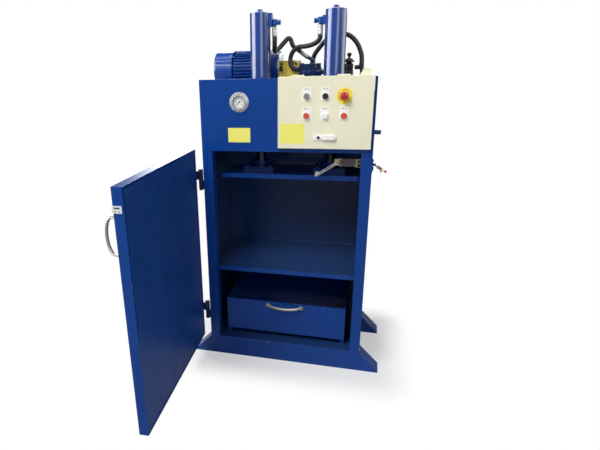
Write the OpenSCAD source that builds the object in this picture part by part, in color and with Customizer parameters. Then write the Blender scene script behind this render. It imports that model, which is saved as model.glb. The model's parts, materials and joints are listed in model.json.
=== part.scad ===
// Drum crusher: a steel cabinet press with two hydraulic cylinders, a swing door and a drip drawer.
// Millimetres. X runs to the right, Y to the back and Z up.
// The origin lies on the floor, midway between the two feet.

/* [Cabinet] */
// Width of the cabinet
cabinet_w = 850; // [820:10:900]
// Depth of the cabinet
cabinet_d = 512; // [504:4:560]
// Height of the front panel's top edge
panel_top = 1547; // [1530:1:1549]
// Height of the deck that carries the motor and valves
deck_top = 1480; // [1460:5:1490]
// Height of the top of the chamber opening
opening_top = 1200; // [1190:2:1202]
// Thickness of the sheet steel walls
wall_t = 5; // [4:0.5:6]
// Thickness of the front panel
panel_t = 4; // [3:0.5:5]
// Depth of the folded edge along the panel's top
panel_lip = 24; // [16:2:30]
// Width of a front post
post_w = 53; // [46:1:56]
// Depth of a front post
post_d = 50; // [46:1:54]
// Wall of the hollow posts and lintel
post_wall = 4; // [3:0.5:6]
// Height of the lintel over the opening
lintel_h = 20; // [14:1:20]

/* [Feet] */
// Height of a foot beam
foot_h = 111; // [105:1:113]
// Depth of a foot beam
foot_d = 89; // [70:1:110]
// Length that a foot reaches past the cabinet's side
foot_reach = 103; // [70:1:130]
// Height of the upright nose at a foot's tip
foot_nose = 8; // [6:1:14]
// Wall of a foot beam
foot_wall = 6; // [4:0.5:8]

/* [Press] */
// Height of the crushing shelf's top face
shelf_top = 556; // [540:2:580]
// Thickness of the crushing shelf
shelf_t = 24; // [16:1:32]
// Distance from the front of the posts back to the shelf's edge
shelf_setback = 20; // [10:1:35]
// Underside of the platen when it is raised
platen_z = 1040; // [1030:1:1045]
// Width of the platen
platen_w = 726; // [700:2:732]
// Depth of the platen
platen_d = 292; // [270:2:292]
// Thickness of the platen
platen_t = 24; // [16:1:26]
// Distance that the platen travels down
platen_travel = 450; // [380:10:450]
// Distance between the two cylinder axes
cylinder_spacing = 380; // [370:1:384]
// Distance that the cylinder pair stands right of the middle
cylinder_shift = 20; // [8:1:24]
// Outer radius of a cylinder barrel
barrel_r = 52.5; // [50:0.5:54]
// Wall of a cylinder barrel
barrel_wall = 9.5; // [8:0.5:11]
// Height of the top of a barrel
barrel_top = 1857; // [1850:1:1880]
// Thickness of a barrel's closed end
barrel_cap = 25; // [18:1:25]
// Length of the gland that guides the rod
gland_l = 40; // [30:1:44]
// Radius of a barrel's mounting flange
barrel_foot_r = 78; // [72:1:84]
// Thickness of a barrel's mounting flange
barrel_foot_t = 20; // [16:1:24]
// Radius of a piston rod
rod_r = 28; // [24:1:32]
// Thickness of a piston
piston_t = 40; // [34:1:44]
// Width of the square flange under a rod
flange_w = 165; // [150:1:166]
// Thickness of the square flange under a rod
flange_t = 25; // [20:1:26]
// Radius of the collar above a rod's flange
collar_r = 45; // [40:1:48]
// Height of the collar above a rod's flange
collar_h = 27; // [20:1:28]
// Thickness of the roof plate that the barrels stand on
roof_t = 25; // [20:1:30]
// Underside of the roof plate
roof_z = 1235; // [1226:1:1240]
// Running clearance of rods, pistons and pins
running = 0.05; // [0.03:0.01:0.08]
// Small gap between two pieces that move past each other
gap = 0.3; // [0.25:0.05:0.4]

/* [Door] */
// Width of the door
door_w = 850; // [820:10:900]
// Bottom edge of the door
door_z = 120; // [118:1:130]
// Height of the door
door_h = 1089; // [1060:1:1090]
// Thickness of the door
door_t = 43.5; // [38:0.5:48]
// Sheet thickness of the door
door_sheet = 2; // [1.5:0.25:2.5]
// Width of the folded lip round the door's inner side
door_lip = 12; // [8:1:20]
// Gap between the closed door and the posts
door_gap = 2.5; // [1.5:0.25:3.5]
// Distance of the hinge axis outside the cabinet's side
hinge_out = 20; // [18:0.5:22]
// Distance of the hinge axis behind the front of the posts
hinge_back = 15; // [12:0.5:20]
// Radius of a hinge knuckle
knuckle_r = 12.5; // [10:0.5:13]
// Radius of a hinge pin
hinge_pin_r = 5; // [4:0.5:6]
// Length of a whole hinge
hinge_l = 114; // [90:1:130]
// Bottom of the lower hinge
hinge_low_z = 218; // [200:1:240]
// Distance of the upper hinge's bottom below the door's top
hinge_drop = 221; // [200:1:250]
// Angle at which the door stands open at rest
door_open = 87.5; // [60:0.5:95]
// Distance of the middle of the door's handle below the door's top
door_handle_drop = 205; // [195:1:230]
// Distance between the feet of the door's handle
door_handle_l = 168; // [140:2:170]
// Distance that the door's handle stands off
door_handle_out = 40; // [34:1:46]
// Radius of the door handle's bar
door_bar_r = 6.5; // [5.5:0.5:8]
// Distance of the latch's middle below the door's top
latch_drop = 99; // [90:1:110]

/* [Drawer] */
// Width of the drawer
drawer_w = 676; // [640:2:720]
// Height of the drawer
drawer_h = 195; // [170:1:210]
// Distance from the front of the posts back to the drawer
drawer_setback = 60; // [56:1:80]
// Sheet thickness of the drawer
drawer_sheet = 3; // [2:0.5:4]
// Gap behind the closed drawer
drawer_rear_gap = 16; // [8:1:40]
// Height of the runner under the drawer
runner_h = 28; // [20:1:36]
// Width of a runner
runner_w = 20; // [14:1:30]
// Distance between the feet of the drawer's handle
drawer_handle_l = 190; // [160:2:210]
// Distance that the drawer's handle stands off
drawer_handle_out = 34; // [28:1:40]
// Radius of the drawer handle's bar
drawer_bar_r = 7; // [5:0.5:8]

/* [Control box] */
// Left side of the control box
box_x = -26; // [-40:1:-20]
// Width of the control box
box_w = 438; // [420:1:440]
// Bottom of the control box
box_z = 1222; // [1221:1:1226]
// Height of the control box
box_h = 330; // [326:1:334]
// Distance that the lid stands out from the front panel
lid_d = 20; // [16:1:26]
// Depth of the case behind the front panel
case_d = 44; // [30:1:46]
// Sheet thickness of the case and lid
box_sheet = 2; // [1.5:0.25:3]
// Left column of push-buttons, from the case's left side
button_x = 136; // [130:1:140]
// Distance between the columns of push-buttons
button_pitch_x = 86.5; // [84:0.5:92]
// Distance between the rows of push-buttons
button_pitch_z = 88; // [86:0.5:92]
// Top row of push-buttons, from the case's bottom
button_z = 242; // [240:1:250]
// Radius of a push-button's cap
button_r = 13.8; // [12:0.2:14.4]
// Distance that a push-button travels
button_travel = 4; // [3:0.25:5]
// Width of a legend plate
legend_w = 43; // [38:1:56]
// Height of a legend plate
legend_h = 61; // [54:1:70]
// Thickness of a legend plate
legend_t = 1.5; // [1:0.25:2]
// Radius of the emergency stop's yellow disc
stop_plate_r = 36; // [30:1:40]
// Radius of the emergency stop's mushroom head
stop_r = 20; // [18:0.5:24]
// Radius of a button's stem
stem_r = 7; // [5:0.5:8]
// Length of the lock's oblong plate
lock_l = 112; // [100:2:120]
// Height of the lock's oblong plate
lock_h = 28; // [22:1:30]
// Middle of the lock, from the case's bottom
lock_z = 54; // [50:1:60]

/* [Gauge] */
// Distance of the gauge left of the middle
gauge_x = 221; // [200:1:240]
// Height of the gauge
gauge_z = 1439; // [1420:1:1450]
// Radius of the gauge's round flange
gauge_r = 48; // [42:1:52]
// Radius of the dial
dial_r = 31; // [27:1:34]
// Width of the raised bezel round the dial
bezel_w = 8; // [6:0.5:9]
// Height of the raised bezel
bezel_h = 11; // [10:0.5:14]

/* [Power pack] */
// Distance of the motor's axis in front of the cabinet's back
motor_back = 96; // [90:1:98]
// Height of the motor's axis above the deck
motor_z = 110; // [101:1:114]
// Radius over the motor's cooling fins
motor_r = 98; // [92:1:98]
// Depth of the cooling fins
fin_h = 12; // [8:1:16]
// Number of cooling fins
fin_count = 36; // [24:2:40]
// Thickness of a cooling fin
fin_t = 3; // [2:0.5:4]
// Left end of the motor's frame
motor_x = -338; // [-350:1:-330]
// Length of the finned frame
motor_l = 165; // [155:1:170]
// Length of the fan cowl
cowl_l = 105; // [90:1:112]
// Radius of the fan cowl
cowl_r = 100; // [98:0.5:100]
// Radius of the motor's shaft
shaft_r = 12; // [9:1:14]
// Width of the pump block
pump_w = 105; // [96:1:108]
// Depth of the pump block
pump_d = 95; // [84:1:120]
// Height of the pump block
pump_h = 149; // [140:1:156]
// Left side of the pump block
pump_x = -90; // [-92:1:-88]
// Radius of a hose
hose_r = 12; // [10:0.5:12.5]
// Height of the ports above the deck
port_z = 330; // [325:1:335]
// Distance of a hose's axis from its cylinder's axis
port_out = 75; // [73:1:77]

/* [Hidden] */
$fn = 48;

// Planes of the cabinet
half_w = cabinet_w / 2;
front_y = -cabinet_d / 2;
back_y = cabinet_d / 2;
wall_x = half_w - wall_t;
post_x = half_w - post_w;
post_back = front_y + post_d;
panel_back = front_y + panel_t;
wall_back = back_y - wall_t;
floor_z = foot_h + wall_t;
opening_w = 2 * post_x;

// Press
barrel_z = roof_z + roof_t;
bore_r = barrel_r - barrel_wall;
platen_top = platen_z + platen_t;
rod_z = platen_top + flange_t + collar_h;
piston_z = barrel_top - barrel_cap - piston_t - 4;
port_height = deck_top + port_z;

// Door, drawn closed and then swung open about its hinge
door_top = door_z + door_h;
hinge_high_z = door_top - hinge_drop;
door_handle_z = door_top - door_handle_drop;
latch_z = door_top - latch_drop;
door_x = -half_w - 0.4;
door_y = front_y - door_gap;
hinge_x = -half_w - hinge_out;
hinge_y = front_y + hinge_back;
knuckle_l = (hinge_l - gap) / 2;
catch_w = 36;
catch_h = 28;
catch_t = 3;
catch_z = latch_z + 15;
catch_flange = 16;

// Drawer
drawer_z = floor_z + runner_h + gap;
drawer_y = front_y + drawer_setback;
drawer_l = wall_back - drawer_rear_gap - drawer_y;
handle_z = drawer_z + drawer_h - 23;

// Control box
lid_y = front_y - gap;
lid_front = lid_y - lid_d;
box_end = box_x + box_w;
box_top = box_z + box_h;
box_slot = 1;
hood_w = 47;
hood_inset = 21;
hood_x = box_end - hood_inset - hood_w;
lid_hinge_r = 3;
lid_hinge_l = 60;
lid_hinge_inset = 60;
lid_hinge_room = 40;
lid_axis_z = box_top + lid_hinge_r;
lid_hinges = [box_x + lid_hinge_inset, hood_x - lid_hinge_l - lid_hinge_room];
knuckle_end = 15;
lid_pin_r = 1.2;
surround_r = button_r + 1.8;
surround_l = 5;
stop_travel = 5;
stop_collar_r = 15;
stop_collar_l = 8;
stop_lift = legend_t + stop_collar_l + stop_travel + gap;
spigot_r = 5;
spigot_l = 9;
lock_x = box_x + box_w / 2 + 4;
lock_pivot = lock_x + lock_l / 2 - 14;
lock_base_t = 4;
lock_lever_l = 66;
lock_lever_t = 8;
spindle_r = 5;
hood_h = 29;
hood_d = 34;
hood_slope = 18;

// Gauge
gauge_flange_t = 3;
can_r = dial_r + 1;
can_l = 30;
dial_t = 1;
glass_t = 2;
needle_t = 1;
needle_pin_r = 1;

// Power pack
motor_y = back_y - motor_back;
motor_axis = deck_top + motor_z;
core_r = motor_r - fin_h;
neck_l = 9;
motor_end = motor_x + motor_l;
shield_l = 30;
shield_r = 90;
drive_flange_l = 48;
drive_flange_r = 90;
drive_end = motor_end + shield_l + drive_flange_l;
cowl_x = motor_x - neck_l - cowl_l;
cowl_t = 3;
lug_l = 12;
lug_r = sqrt(pow(cowl_r - cowl_t - gap, 2) - 49);
fan_r = 78;
adaptor_r = drive_flange_r - 12;
adaptor_lip = 6;
pump_y = motor_y - 60;
pump_top = deck_top + pump_h;
pump_end = pump_x + pump_w;
valve_x = pump_end + 7;
valve_w = 80;
valve_y = pump_y - 5;
valve_d = 80;
valve_h = 130;
valve_top = deck_top + valve_h;
coil_r = 28;
coil_l = 30;
coil_nut_l = 12;
breather_x = 274;
breather_y = motor_y - 5;
breather_r = 24;
breather_h = 181;
tee_x = 340;
tee_y = motor_y - 47;
tee_top = deck_top + 124;
tee_l = 34;

// Hoses and their fittings
hose_steps = 3;
ferrule_r = hose_r + 1;
ferrule_l = 46;
port_block_w = 40;
port_block_out = 12;
port_block_low = 20;
port_body_h = 28;
port_stem = 6;
ferrule_top = port_height - port_body_h / 2 - port_stem;
hose_start = ferrule_top - ferrule_l;
left_port_x = cylinder_shift - cylinder_spacing / 2 + port_out;
right_port_x = cylinder_shift + cylinder_spacing / 2 - port_out;
elbow_x = valve_x + 63;
elbow_y = valve_y + 17;
elbow_knee = valve_top + 18;
elbow_dir = unit([7, 0, -5]);
elbow_from = [elbow_x, elbow_y, elbow_knee] - 26 * elbow_dir;
ferrule_from = elbow_from - ferrule_l * elbow_dir;
side_port_x = valve_x - 12;
side_port_y = valve_y - 9;
side_port_z = deck_top + 106;
riser_x = valve_x + 64;
riser_y = valve_y + 56;
riser_top = valve_top + 10;

// Routes of the hoses, from end to end
left_route = flowing([
    [left_port_x, 0, hose_start], [left_port_x, 0, hose_start - 20], [-98, 14, 1693],
    [-102, 36, 1677], [-96, 58, 1679], [-80, 77, 1697], [-61, 88, 1719], [-41, 96, 1739],
    [-28, 100, 1731], [-20, 104, 1708], [-8, 109, 1692], ferrule_from - 20 * elbow_dir,
    ferrule_from - 0.02 * elbow_dir
]);
right_route = flowing([
    [right_port_x, 0, hose_start], [right_port_x, 0, hose_start - 12], [128, 6, 1718],
    [108, 17, 1705], [82, 32, 1698], [50, 51, 1694], [17, 66, 1692], [-11, 77, 1674],
    [-25, 83, 1646], [-26, 85, 1616], [-15, 86, 1593], [side_port_x - 12, side_port_y, side_port_z],
    [side_port_x, side_port_y, side_port_z]
]);
return_route = flowing([
    [riser_x, riser_y, riser_top], [riser_x, riser_y, riser_top + 16], [95, 143, 1658],
    [117, 132, 1686], [148, 121, 1718], [191, 112, 1745], [236, 108, 1751], [277, 108, 1738],
    [313, 110, 1702], [335, 112, 1654], [tee_x, tee_y, tee_top + 18], [tee_x, tee_y, tee_top]
]);

// Limit switch
switch_x = [267, 348];
switch_y = [-180, -150];
switch_z = [1122, 1161];
lever_pivot = [262, 1143];
roller_r = 10;
lever_end = [156, platen_top + roller_r + gap];
lever_t = 4;
lever_y = switch_y[0] - 5;
roller_l = 14;
roller_y = 2 - platen_d / 2;

// Cable stub on the right side
stub_y = front_y + 62;
stub_z = roof_z + 58;
stub_l = 30;
stub_r = 11;
stub_bore_r = 7.5;

// Latch on the right side
latch_y = front_y + 40;
latch_pivot = [half_w + 12, latch_z + 32];

// ---- Shared forms ----

function unit(v) = v / norm(v);

module block(x, y, z) {
    translate([x[0], y[0], z[0]])
        cube([x[1] - x[0], y[1] - y[0], z[1] - z[0]]);
}

// A rod along X, Y or Z from a point
module rod_x(from, length, r, sides = 48) {
    translate(from)
        rotate([0, 90, 0])
            cylinder(h = length, r = r, $fn = sides);
}

module rod_y(from, length, r, sides = 48) {
    translate(from)
        rotate([-90, 0, 0])
            cylinder(h = length, r = r, $fn = sides);
}

module rod_z(from, length, r, sides = 48) {
    translate(from)
        cylinder(h = length, r = r, $fn = sides);
}

// A rod between two points
module rod_between(from, to, r) {
    d = to - from;
    translate(from)
        rotate([0, acos(d[2] / norm(d)), atan2(d[1], d[0])])
            cylinder(h = norm(d), r = r);
}

// A closed square tube: a block with a sealed hollow
module hollow_block(x, y, z, wall) {
    difference() {
        block(x, y, z);
        block([x[0] + wall, x[1] - wall], [y[0] + wall, y[1] - wall], [z[0] + wall, z[1] - wall]);
    }
}

// A plan outline that fills the space between the walls and the posts
module plan_outline(front) {
    polygon([
        [-wall_x, wall_back], [-wall_x, post_back], [-post_x, post_back], [-post_x, front],
        [post_x, front], [post_x, post_back], [wall_x, post_back], [wall_x, wall_back]
    ]);
}

// A bow handle: an arc over a chord along X that bulges to -Y, on two round feet
// that stand on the face at Y = 0
module bow_handle(chord, out, r, foot_r) {
    rise = out - 2;
    arc_r = (pow(chord / 2, 2) + rise * rise) / (2 * rise);
    half = asin(chord / 2 / arc_r);
    difference() {
        translate([0, arc_r - out, 0])
            rotate([0, 0, 270 - half])
                rotate_extrude(angle = 2 * half)
                    translate([arc_r, 0])
                        circle(r = r, $fn = 24);
        block([-chord, chord], [0, 4 * r], [-2 * r, 2 * r]);
    }
    for (side = [-1, 1])
        rod_y([side * chord / 2, -5, 0], 5, foot_r);
}

// Points of a smooth curve that passes through a route's own points
function between(a, b, c, d, t) = 0.5 * (
    2 * b + (c - a) * t + (2 * a - 5 * b + 4 * c - d) * t * t + (3 * b - a - 3 * c + d) * t * t * t
);
function flowing(route) = let (
    n = len(route) - 1,
    p = concat([2 * route[0] - route[1]], route, [2 * route[n] - route[n - 1]])
) [
    for (i = [0 : n - 1], k = [0 : hose_steps - 1])
        between(p[i], p[i + 1], p[i + 2], p[i + 3], k / hose_steps),
    route[n]
];

// A tube swept along a curve as one closed solid, whose ends lie square to the route
function lean(p) = [
    for (i = [0 : len(p) - 1])
        let (s = i == 0 || i == len(p) - 1 ? hose_steps : 1)
            unit(p[min(i + s, len(p) - 1)] - p[max(i - s, 0)])
];
function level(t, v) = unit(v - (v * t) * t);
function across(t) = [
    for (i = 0, u = level(t[0], [0.2, 1, 0.1]); i < len(t);
        i = i + 1, u = level(t[min(i, len(t) - 1)], u)) u
];

module hose(route, r, sides = 10) {
    t = lean(route);
    u = across(t);
    rings = [
        for (i = [0 : len(route) - 1], k = [0 : sides - 1])
            route[i] + r * (cos(360 * k / sides) * u[i] + sin(360 * k / sides) * cross(t[i], u[i]))
    ];
    last = (len(route) - 1) * sides;
    polyhedron(rings, concat(
        [[for (k = [sides - 1 : -1 : 0]) k]],
        [for (i = [0 : len(route) - 2], k = [0 : sides - 1]) [
            i * sides + k, i * sides + (k + 1) % sides,
            (i + 1) * sides + (k + 1) % sides, (i + 1) * sides + k
        ]],
        [[for (k = [0 : sides - 1]) last + k]]
    ));
}

// Places what is drawn on the closed door at the door's rest angle
module on_door() {
    translate([hinge_x, hinge_y, 0])
        rotate([0, 0, -door_open])
            translate([-hinge_x, -hinge_y, 0])
                children();
}

module at_cylinders() {
    for (side = [-1, 1])
        translate([cylinder_shift + side * cylinder_spacing / 2, 0, 0])
            children();
}

// ---- Cabinet ----

function foot_edge(z) = half_w + foot_reach - max(0, z - foot_nose) * foot_reach / (foot_h - foot_nose);

module feet() {
    slant = foot_wall * norm([foot_reach, foot_h - foot_nose]) / (foot_h - foot_nose);
    low = foot_edge(0);
    low_in = low - slant;
    high_in = foot_edge(foot_h - foot_wall) - slant;
    color("royalblue")
        for (y = [front_y, back_y - foot_d])
            difference() {
                translate([0, y + foot_d, 0])
                    rotate([90, 0, 0])
                        linear_extrude(foot_d)
                            polygon([
                                [-low, 0], [low, 0], [low, foot_nose], [half_w, foot_h],
                                [-half_w, foot_h], [-low, foot_nose]
                            ]);
                translate([0, y + foot_d - foot_wall, 0])
                    rotate([90, 0, 0])
                        linear_extrude(foot_d - 2 * foot_wall)
                            polygon([
                                [-low_in, foot_wall], [low_in, foot_wall],
                                [high_in, foot_h - foot_wall], [-high_in, foot_h - foot_wall]
                            ]);
            }
}

module floor_plate() {
    color("royalblue")
        translate([0, 0, foot_h])
            linear_extrude(wall_t)
                plan_outline(front_y);
}

module side_walls() {
    color("royalblue")
        for (x = [-half_w, wall_x])
            translate([x, 0, 0])
                rotate([90, 0, 90])
                    linear_extrude(wall_t)
                        polygon([
                            [post_back, foot_h], [wall_back, foot_h], [wall_back, deck_top],
                            [panel_back, deck_top], [panel_back, opening_top],
                            [post_back, opening_top]
                        ]);
}

module back_wall() {
    color("royalblue")
        block([-half_w, half_w], [wall_back, back_y], [foot_h, deck_top]);
}

// Two hollow posts under a hollow lintel
module door_frame() {
    color("royalblue") {
        for (x = [-half_w, post_x])
            hollow_block([x, x + post_w], [front_y, post_back], [foot_h, opening_top], post_wall);
        hollow_block([-wall_x, wall_x], [panel_back, post_back],
            [opening_top, opening_top + lintel_h], post_wall);
    }
}

module front_panel() {
    color("royalblue")
        difference() {
            union() {
                block([-half_w, half_w], [front_y, panel_back], [opening_top, panel_top]);
                block([-half_w, half_w], [front_y, front_y + panel_lip],
                    [panel_top - panel_t, panel_top]);
            }
            block([box_x - box_slot, box_end + box_slot], [front_y - 1, front_y + panel_lip + 1],
                [box_z, panel_top + 1]);
            rod_y([-gauge_x, front_y - 1, gauge_z], panel_t + 2, can_r + gap);
        }
}

module roof_plate() {
    color("royalblue")
        difference() {
            block([-wall_x, wall_x], [post_back, wall_back], [roof_z, roof_z + roof_t]);
            at_cylinders()
                rod_z([0, 0, roof_z - 1], roof_t + 2, rod_r + 2);
        }
}

module deck_plate() {
    color("royalblue")
        difference() {
            block([-wall_x, wall_x], [panel_back, wall_back], [deck_top - wall_t, deck_top]);
            block([box_x - box_slot, box_end + box_slot],
                [panel_back - 1, front_y + case_d + box_slot],
                [deck_top - wall_t - 1, deck_top + 1]);
            at_cylinders()
                rod_z([0, 0, deck_top - wall_t - 1], wall_t + 2, barrel_r + gap);
            rod_z([tee_x, tee_y, deck_top - wall_t - 1], wall_t + 2, 7);
        }
}

module crush_shelf() {
    color("royalblue")
        translate([0, 0, shelf_top - shelf_t])
            linear_extrude(shelf_t)
                plan_outline(front_y + shelf_setback);
}

module drawer_runners() {
    inner = drawer_w / 2 - runner_w;
    color("royalblue")
        for (x = [-drawer_w / 2, inner])
            block([x, x + runner_w], [drawer_y + 12, wall_back], [floor_z, floor_z + runner_h]);
}

// ---- Press ----

module barrels() {
    color("royalblue")
        at_cylinders() {
            rotate_extrude()
                polygon([
                    [rod_r + running, barrel_z], [barrel_foot_r, barrel_z],
                    [barrel_foot_r, barrel_z + barrel_foot_t], [barrel_r, barrel_z + barrel_foot_t + 6],
                    [barrel_r, barrel_top - 1.5], [barrel_r - 2, barrel_top], [0, barrel_top],
                    [0, barrel_top - barrel_cap], [bore_r, barrel_top - barrel_cap],
                    [bore_r, barrel_z + gland_l], [rod_r + running, barrel_z + gland_l]
                ]);
            rod_z([0, 0, barrel_top], 7, 20);
            rod_z([0, 0, barrel_top + 7], 9, 14, 6);
        }
}

// A port's welded block, round body and end bolt, to the right of a barrel. The block
// reaches the given height above the port.
module port_fitting(above) {
    difference() {
        block([0, barrel_r + port_block_out], [-port_block_w / 2, port_block_w / 2],
            [port_height - port_block_low, port_height + above]);
        rod_z([0, 0, port_height - port_block_low - 1], port_block_low + above + 2, barrel_r);
    }
    rod_x([barrel_r + port_block_out, 0, port_height], port_out - barrel_r - port_block_out, 10);
    rod_z([port_out, 0, port_height - port_body_h / 2], port_body_h, 13);
    rod_z([port_out, 0, ferrule_top], port_stem, 9);
    rod_x([port_out, 0, port_height], 22, 9);
    rod_x([port_out + 15, 0, port_height], 16, 13, 6);
}

module port_fittings() {
    color("royalblue") {
        translate([left_port_x - port_out, 0, 0])
            port_fitting(barrel_top - 4 - port_height);
        translate([right_port_x + port_out, 0, 0])
            mirror([1, 0, 0])
                port_fitting(port_block_low);
        // Elbow on top of the valve block
        rod_between(elbow_from, [elbow_x, elbow_y, elbow_knee], 9);
        translate([elbow_x, elbow_y, elbow_knee])
            sphere(r = 11);
        rod_z([elbow_x, elbow_y, valve_top + 8], elbow_knee - valve_top - 8, 9);
        rod_z([elbow_x, elbow_y, valve_top], 8, 13, 6);
        // Riser and side port of the valve block
        rod_z([riser_x, riser_y, valve_top], riser_top - valve_top, 13, 6);
        rod_x([side_port_x, side_port_y, side_port_z], 12, 12, 6);
        rod_y([side_port_x + 6, side_port_y, side_port_z], valve_y - side_port_y, 6);
    }
}

// A hose's crimped end sleeve, with two shallow grooves
module ferrule() {
    rotate_extrude()
        polygon([
            [0, 0], [ferrule_r - 1, 0], [ferrule_r, 3], [ferrule_r, 14], [ferrule_r - 1, 17],
            [ferrule_r, 20], [ferrule_r, 28], [ferrule_r - 1, 31], [ferrule_r, 34],
            [ferrule_r, ferrule_l - 3], [ferrule_r - 2, ferrule_l], [0, ferrule_l]
        ]);
}

module hose_ferrules() {
    color("lightgrey") {
        for (x = [left_port_x, right_port_x])
            translate([x, 0, hose_start])
                ferrule();
        translate(ferrule_from)
            rotate([0, acos(elbow_dir[2]), atan2(elbow_dir[1], elbow_dir[0])])
                ferrule();
    }
}

module left_hose() {
    color("dimgrey")
        hose(left_route, hose_r);
}

module right_hose() {
    color("dimgrey")
        hose(right_route, hose_r);
}

module return_hose() {
    color("dimgrey")
        hose(return_route, hose_r);
}

module platen() {
    color("royalblue")
        block([-platen_w / 2, platen_w / 2], [-platen_d / 2, platen_d / 2], [platen_z, platen_top]);
}

module rod_flanges() {
    bolt = flange_w / 2 - 20;
    color("royalblue")
        at_cylinders() {
            block([-flange_w / 2, flange_w / 2], [-flange_w / 2, flange_w / 2],
                [platen_top, platen_top + flange_t]);
            rod_z([0, 0, platen_top + flange_t], collar_h, collar_r);
            for (x = [-bolt, bolt], y = [-bolt, bolt])
                rod_z([x, y, platen_top + flange_t], 10, 12, 6);
        }
}

module piston_rods() {
    color("silver")
        at_cylinders() {
            rod_z([0, 0, rod_z], piston_z - rod_z, rod_r);
            rod_z([0, 0, piston_z], piston_t, bore_r - running);
        }
}

// ---- Power pack ----

module motor_frame() {
    color("royalblue") {
        difference() {
            union() {
                rod_x([motor_x - neck_l - lug_l, motor_y, motor_axis], neck_l + lug_l, core_r - 6);
                rod_x([motor_x, motor_y, motor_axis], motor_l, core_r);
                translate([motor_x, motor_y, motor_axis])
                    rotate([0, 90, 0])
                        linear_extrude(motor_l)
                            for (i = [0 : fin_count - 1])
                                rotate([0, 0, i * 360 / fin_count])
                                    translate([0, -fin_t / 2])
                                        square([motor_r, fin_t]);
                // End shield and drive flange
                rod_x([motor_end, motor_y, motor_axis], shield_l, shield_r);
                rod_x([motor_end + shield_l, motor_y, motor_axis], drive_flange_l, drive_flange_r);
                // Terminal box on top
                block([motor_end - 75, motor_end + 15], [motor_y - 40, motor_y + 40],
                    [motor_axis + core_r - 4, motor_axis + motor_r + 32]);
                block([motor_end - 78, motor_end + 18], [motor_y - 43, motor_y + 43],
                    [motor_axis + motor_r + 32, motor_axis + motor_r + 37]);
                // Lugs inside the fan cowl
                for (i = [0 : 3])
                    translate([motor_x - neck_l - lug_l, motor_y, motor_axis])
                        rotate([45 + i * 90, 0, 0])
                            translate([0, -7, 0])
                                cube([neck_l + lug_l, 14, lug_r]);
                // Feet
                for (x = [motor_x + 20, motor_end - 60])
                    block([x, x + 40], [motor_y - 82, motor_y + 82], [deck_top, motor_axis - 60]);
            }
            rod_x([motor_x - neck_l - lug_l - 1, motor_y, motor_axis], 30 + lug_l,
                shaft_r + running);
        }
    }
}

module fan_cowl() {
    color("royalblue")
        translate([cowl_x, motor_y, motor_axis])
            rotate([0, 90, 0])
                difference() {
                    rotate_extrude()
                        polygon([
                            [0, 0], [cowl_r - 14, 0], [cowl_r - 5, 4], [cowl_r, 14],
                            [cowl_r, cowl_l], [cowl_r - cowl_t, cowl_l], [cowl_r - cowl_t, 15],
                            [cowl_r - 7, 7], [cowl_r - 15, cowl_t], [0, cowl_t]
                        ]);
                    // Grille slots
                    for (i = [0 : 11])
                        rotate([0, 0, i * 30])
                            for (r = [24, 40, 56, 72])
                                translate([r, -r * 0.2, -1])
                                    cube([9, r * 0.4, cowl_t + 2]);
                }
}

module motor_fan() {
    color("dimgrey")
        translate([cowl_x, motor_y, motor_axis])
            rotate([0, 90, 0]) {
                translate([0, 0, 22])
                    cylinder(h = cowl_l - 22 + 20, r = shaft_r);
                translate([0, 0, 30])
                    cylinder(h = 34, r = 26);
                translate([0, 0, 60])
                    cylinder(h = 4, r = fan_r);
                for (i = [0 : 6])
                    rotate([0, 0, i * 360 / 7])
                        translate([20, -1.5, 32])
                            cube([fan_r - 21, 3, 29]);
            }
}

// The disc between motor and pump; its lip rests on top of the pump block
module pump_adaptor() {
    color("silver")
        difference() {
            rod_x([drive_end, motor_y, motor_axis], pump_x + adaptor_lip - drive_end, adaptor_r);
            block([pump_x, pump_end], [motor_y - motor_r, motor_y + motor_r], [deck_top, pump_top]);
        }
}

module pump_block() {
    color("gold") {
        block([pump_x, pump_end], [pump_y, pump_y + pump_d], [deck_top, pump_top]);
        for (x = [16, pump_w - 16])
            rod_y([pump_x + x, pump_y - 4, deck_top + 16], 4, 8, 6);
    }
}

module valve_block() {
    color("royalblue") {
        block([valve_x, valve_x + valve_w], [valve_y, valve_y + valve_d], [deck_top, valve_top]);
        for (x = [24, 50])
            rod_y([valve_x + x, valve_y - 9, deck_top + 88], 9, 11);
        rod_y([valve_x + 37, valve_y - 6, deck_top + 50], 6, 12, 6);
    }
}

module valve_coil() {
    x = valve_x + valve_w;
    y = valve_y + valve_d / 2;
    z = deck_top + 88;
    color("dimgrey") {
        rod_x([x, y, z], coil_l, coil_r);
        block([x + 3, x + coil_l - 3], [y - 14, y + 14], [z + 20, z + 44]);
        rod_x([x + coil_l, y, z], coil_nut_l, 14, 6);
    }
}

// The tank's breather with its domed cap, and the return line's fitting
module tank_fittings() {
    tee_z = tee_top - 17;
    color("dimgrey") {
        translate([breather_x, breather_y, deck_top])
            rotate_extrude()
                polygon([
                    [0, 0], [breather_r, 0], [breather_r, breather_h - 121],
                    [breather_r - 3, breather_h - 118], [breather_r, breather_h - 115],
                    [breather_r, breather_h - 85], [breather_r - 3, breather_h - 82],
                    [breather_r, breather_h - 79], [breather_r, breather_h - 59],
                    [breather_r - 10, breather_h - 51], [breather_r - 13, breather_h - 43],
                    [breather_r + 4, breather_h - 49], [breather_r + 5, breather_h - 44],
                    [breather_r - 6, breather_h - 31], [7, breather_h - 27],
                    [6, breather_h - 21], [11, breather_h - 15], [12, breather_h - 8],
                    [9, breather_h - 2], [0, breather_h]
                ]);
        rod_z([tee_x, tee_y, deck_top - wall_t], tee_z - 12 - deck_top + wall_t, 7);
        rod_z([tee_x, tee_y, tee_z - 12], tee_top - tee_z + 12, 13, 6);
        rod_x([tee_x - tee_l, tee_y, tee_z], tee_l - 4, 11);
    }
}

// ---- Gauge ----

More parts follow.
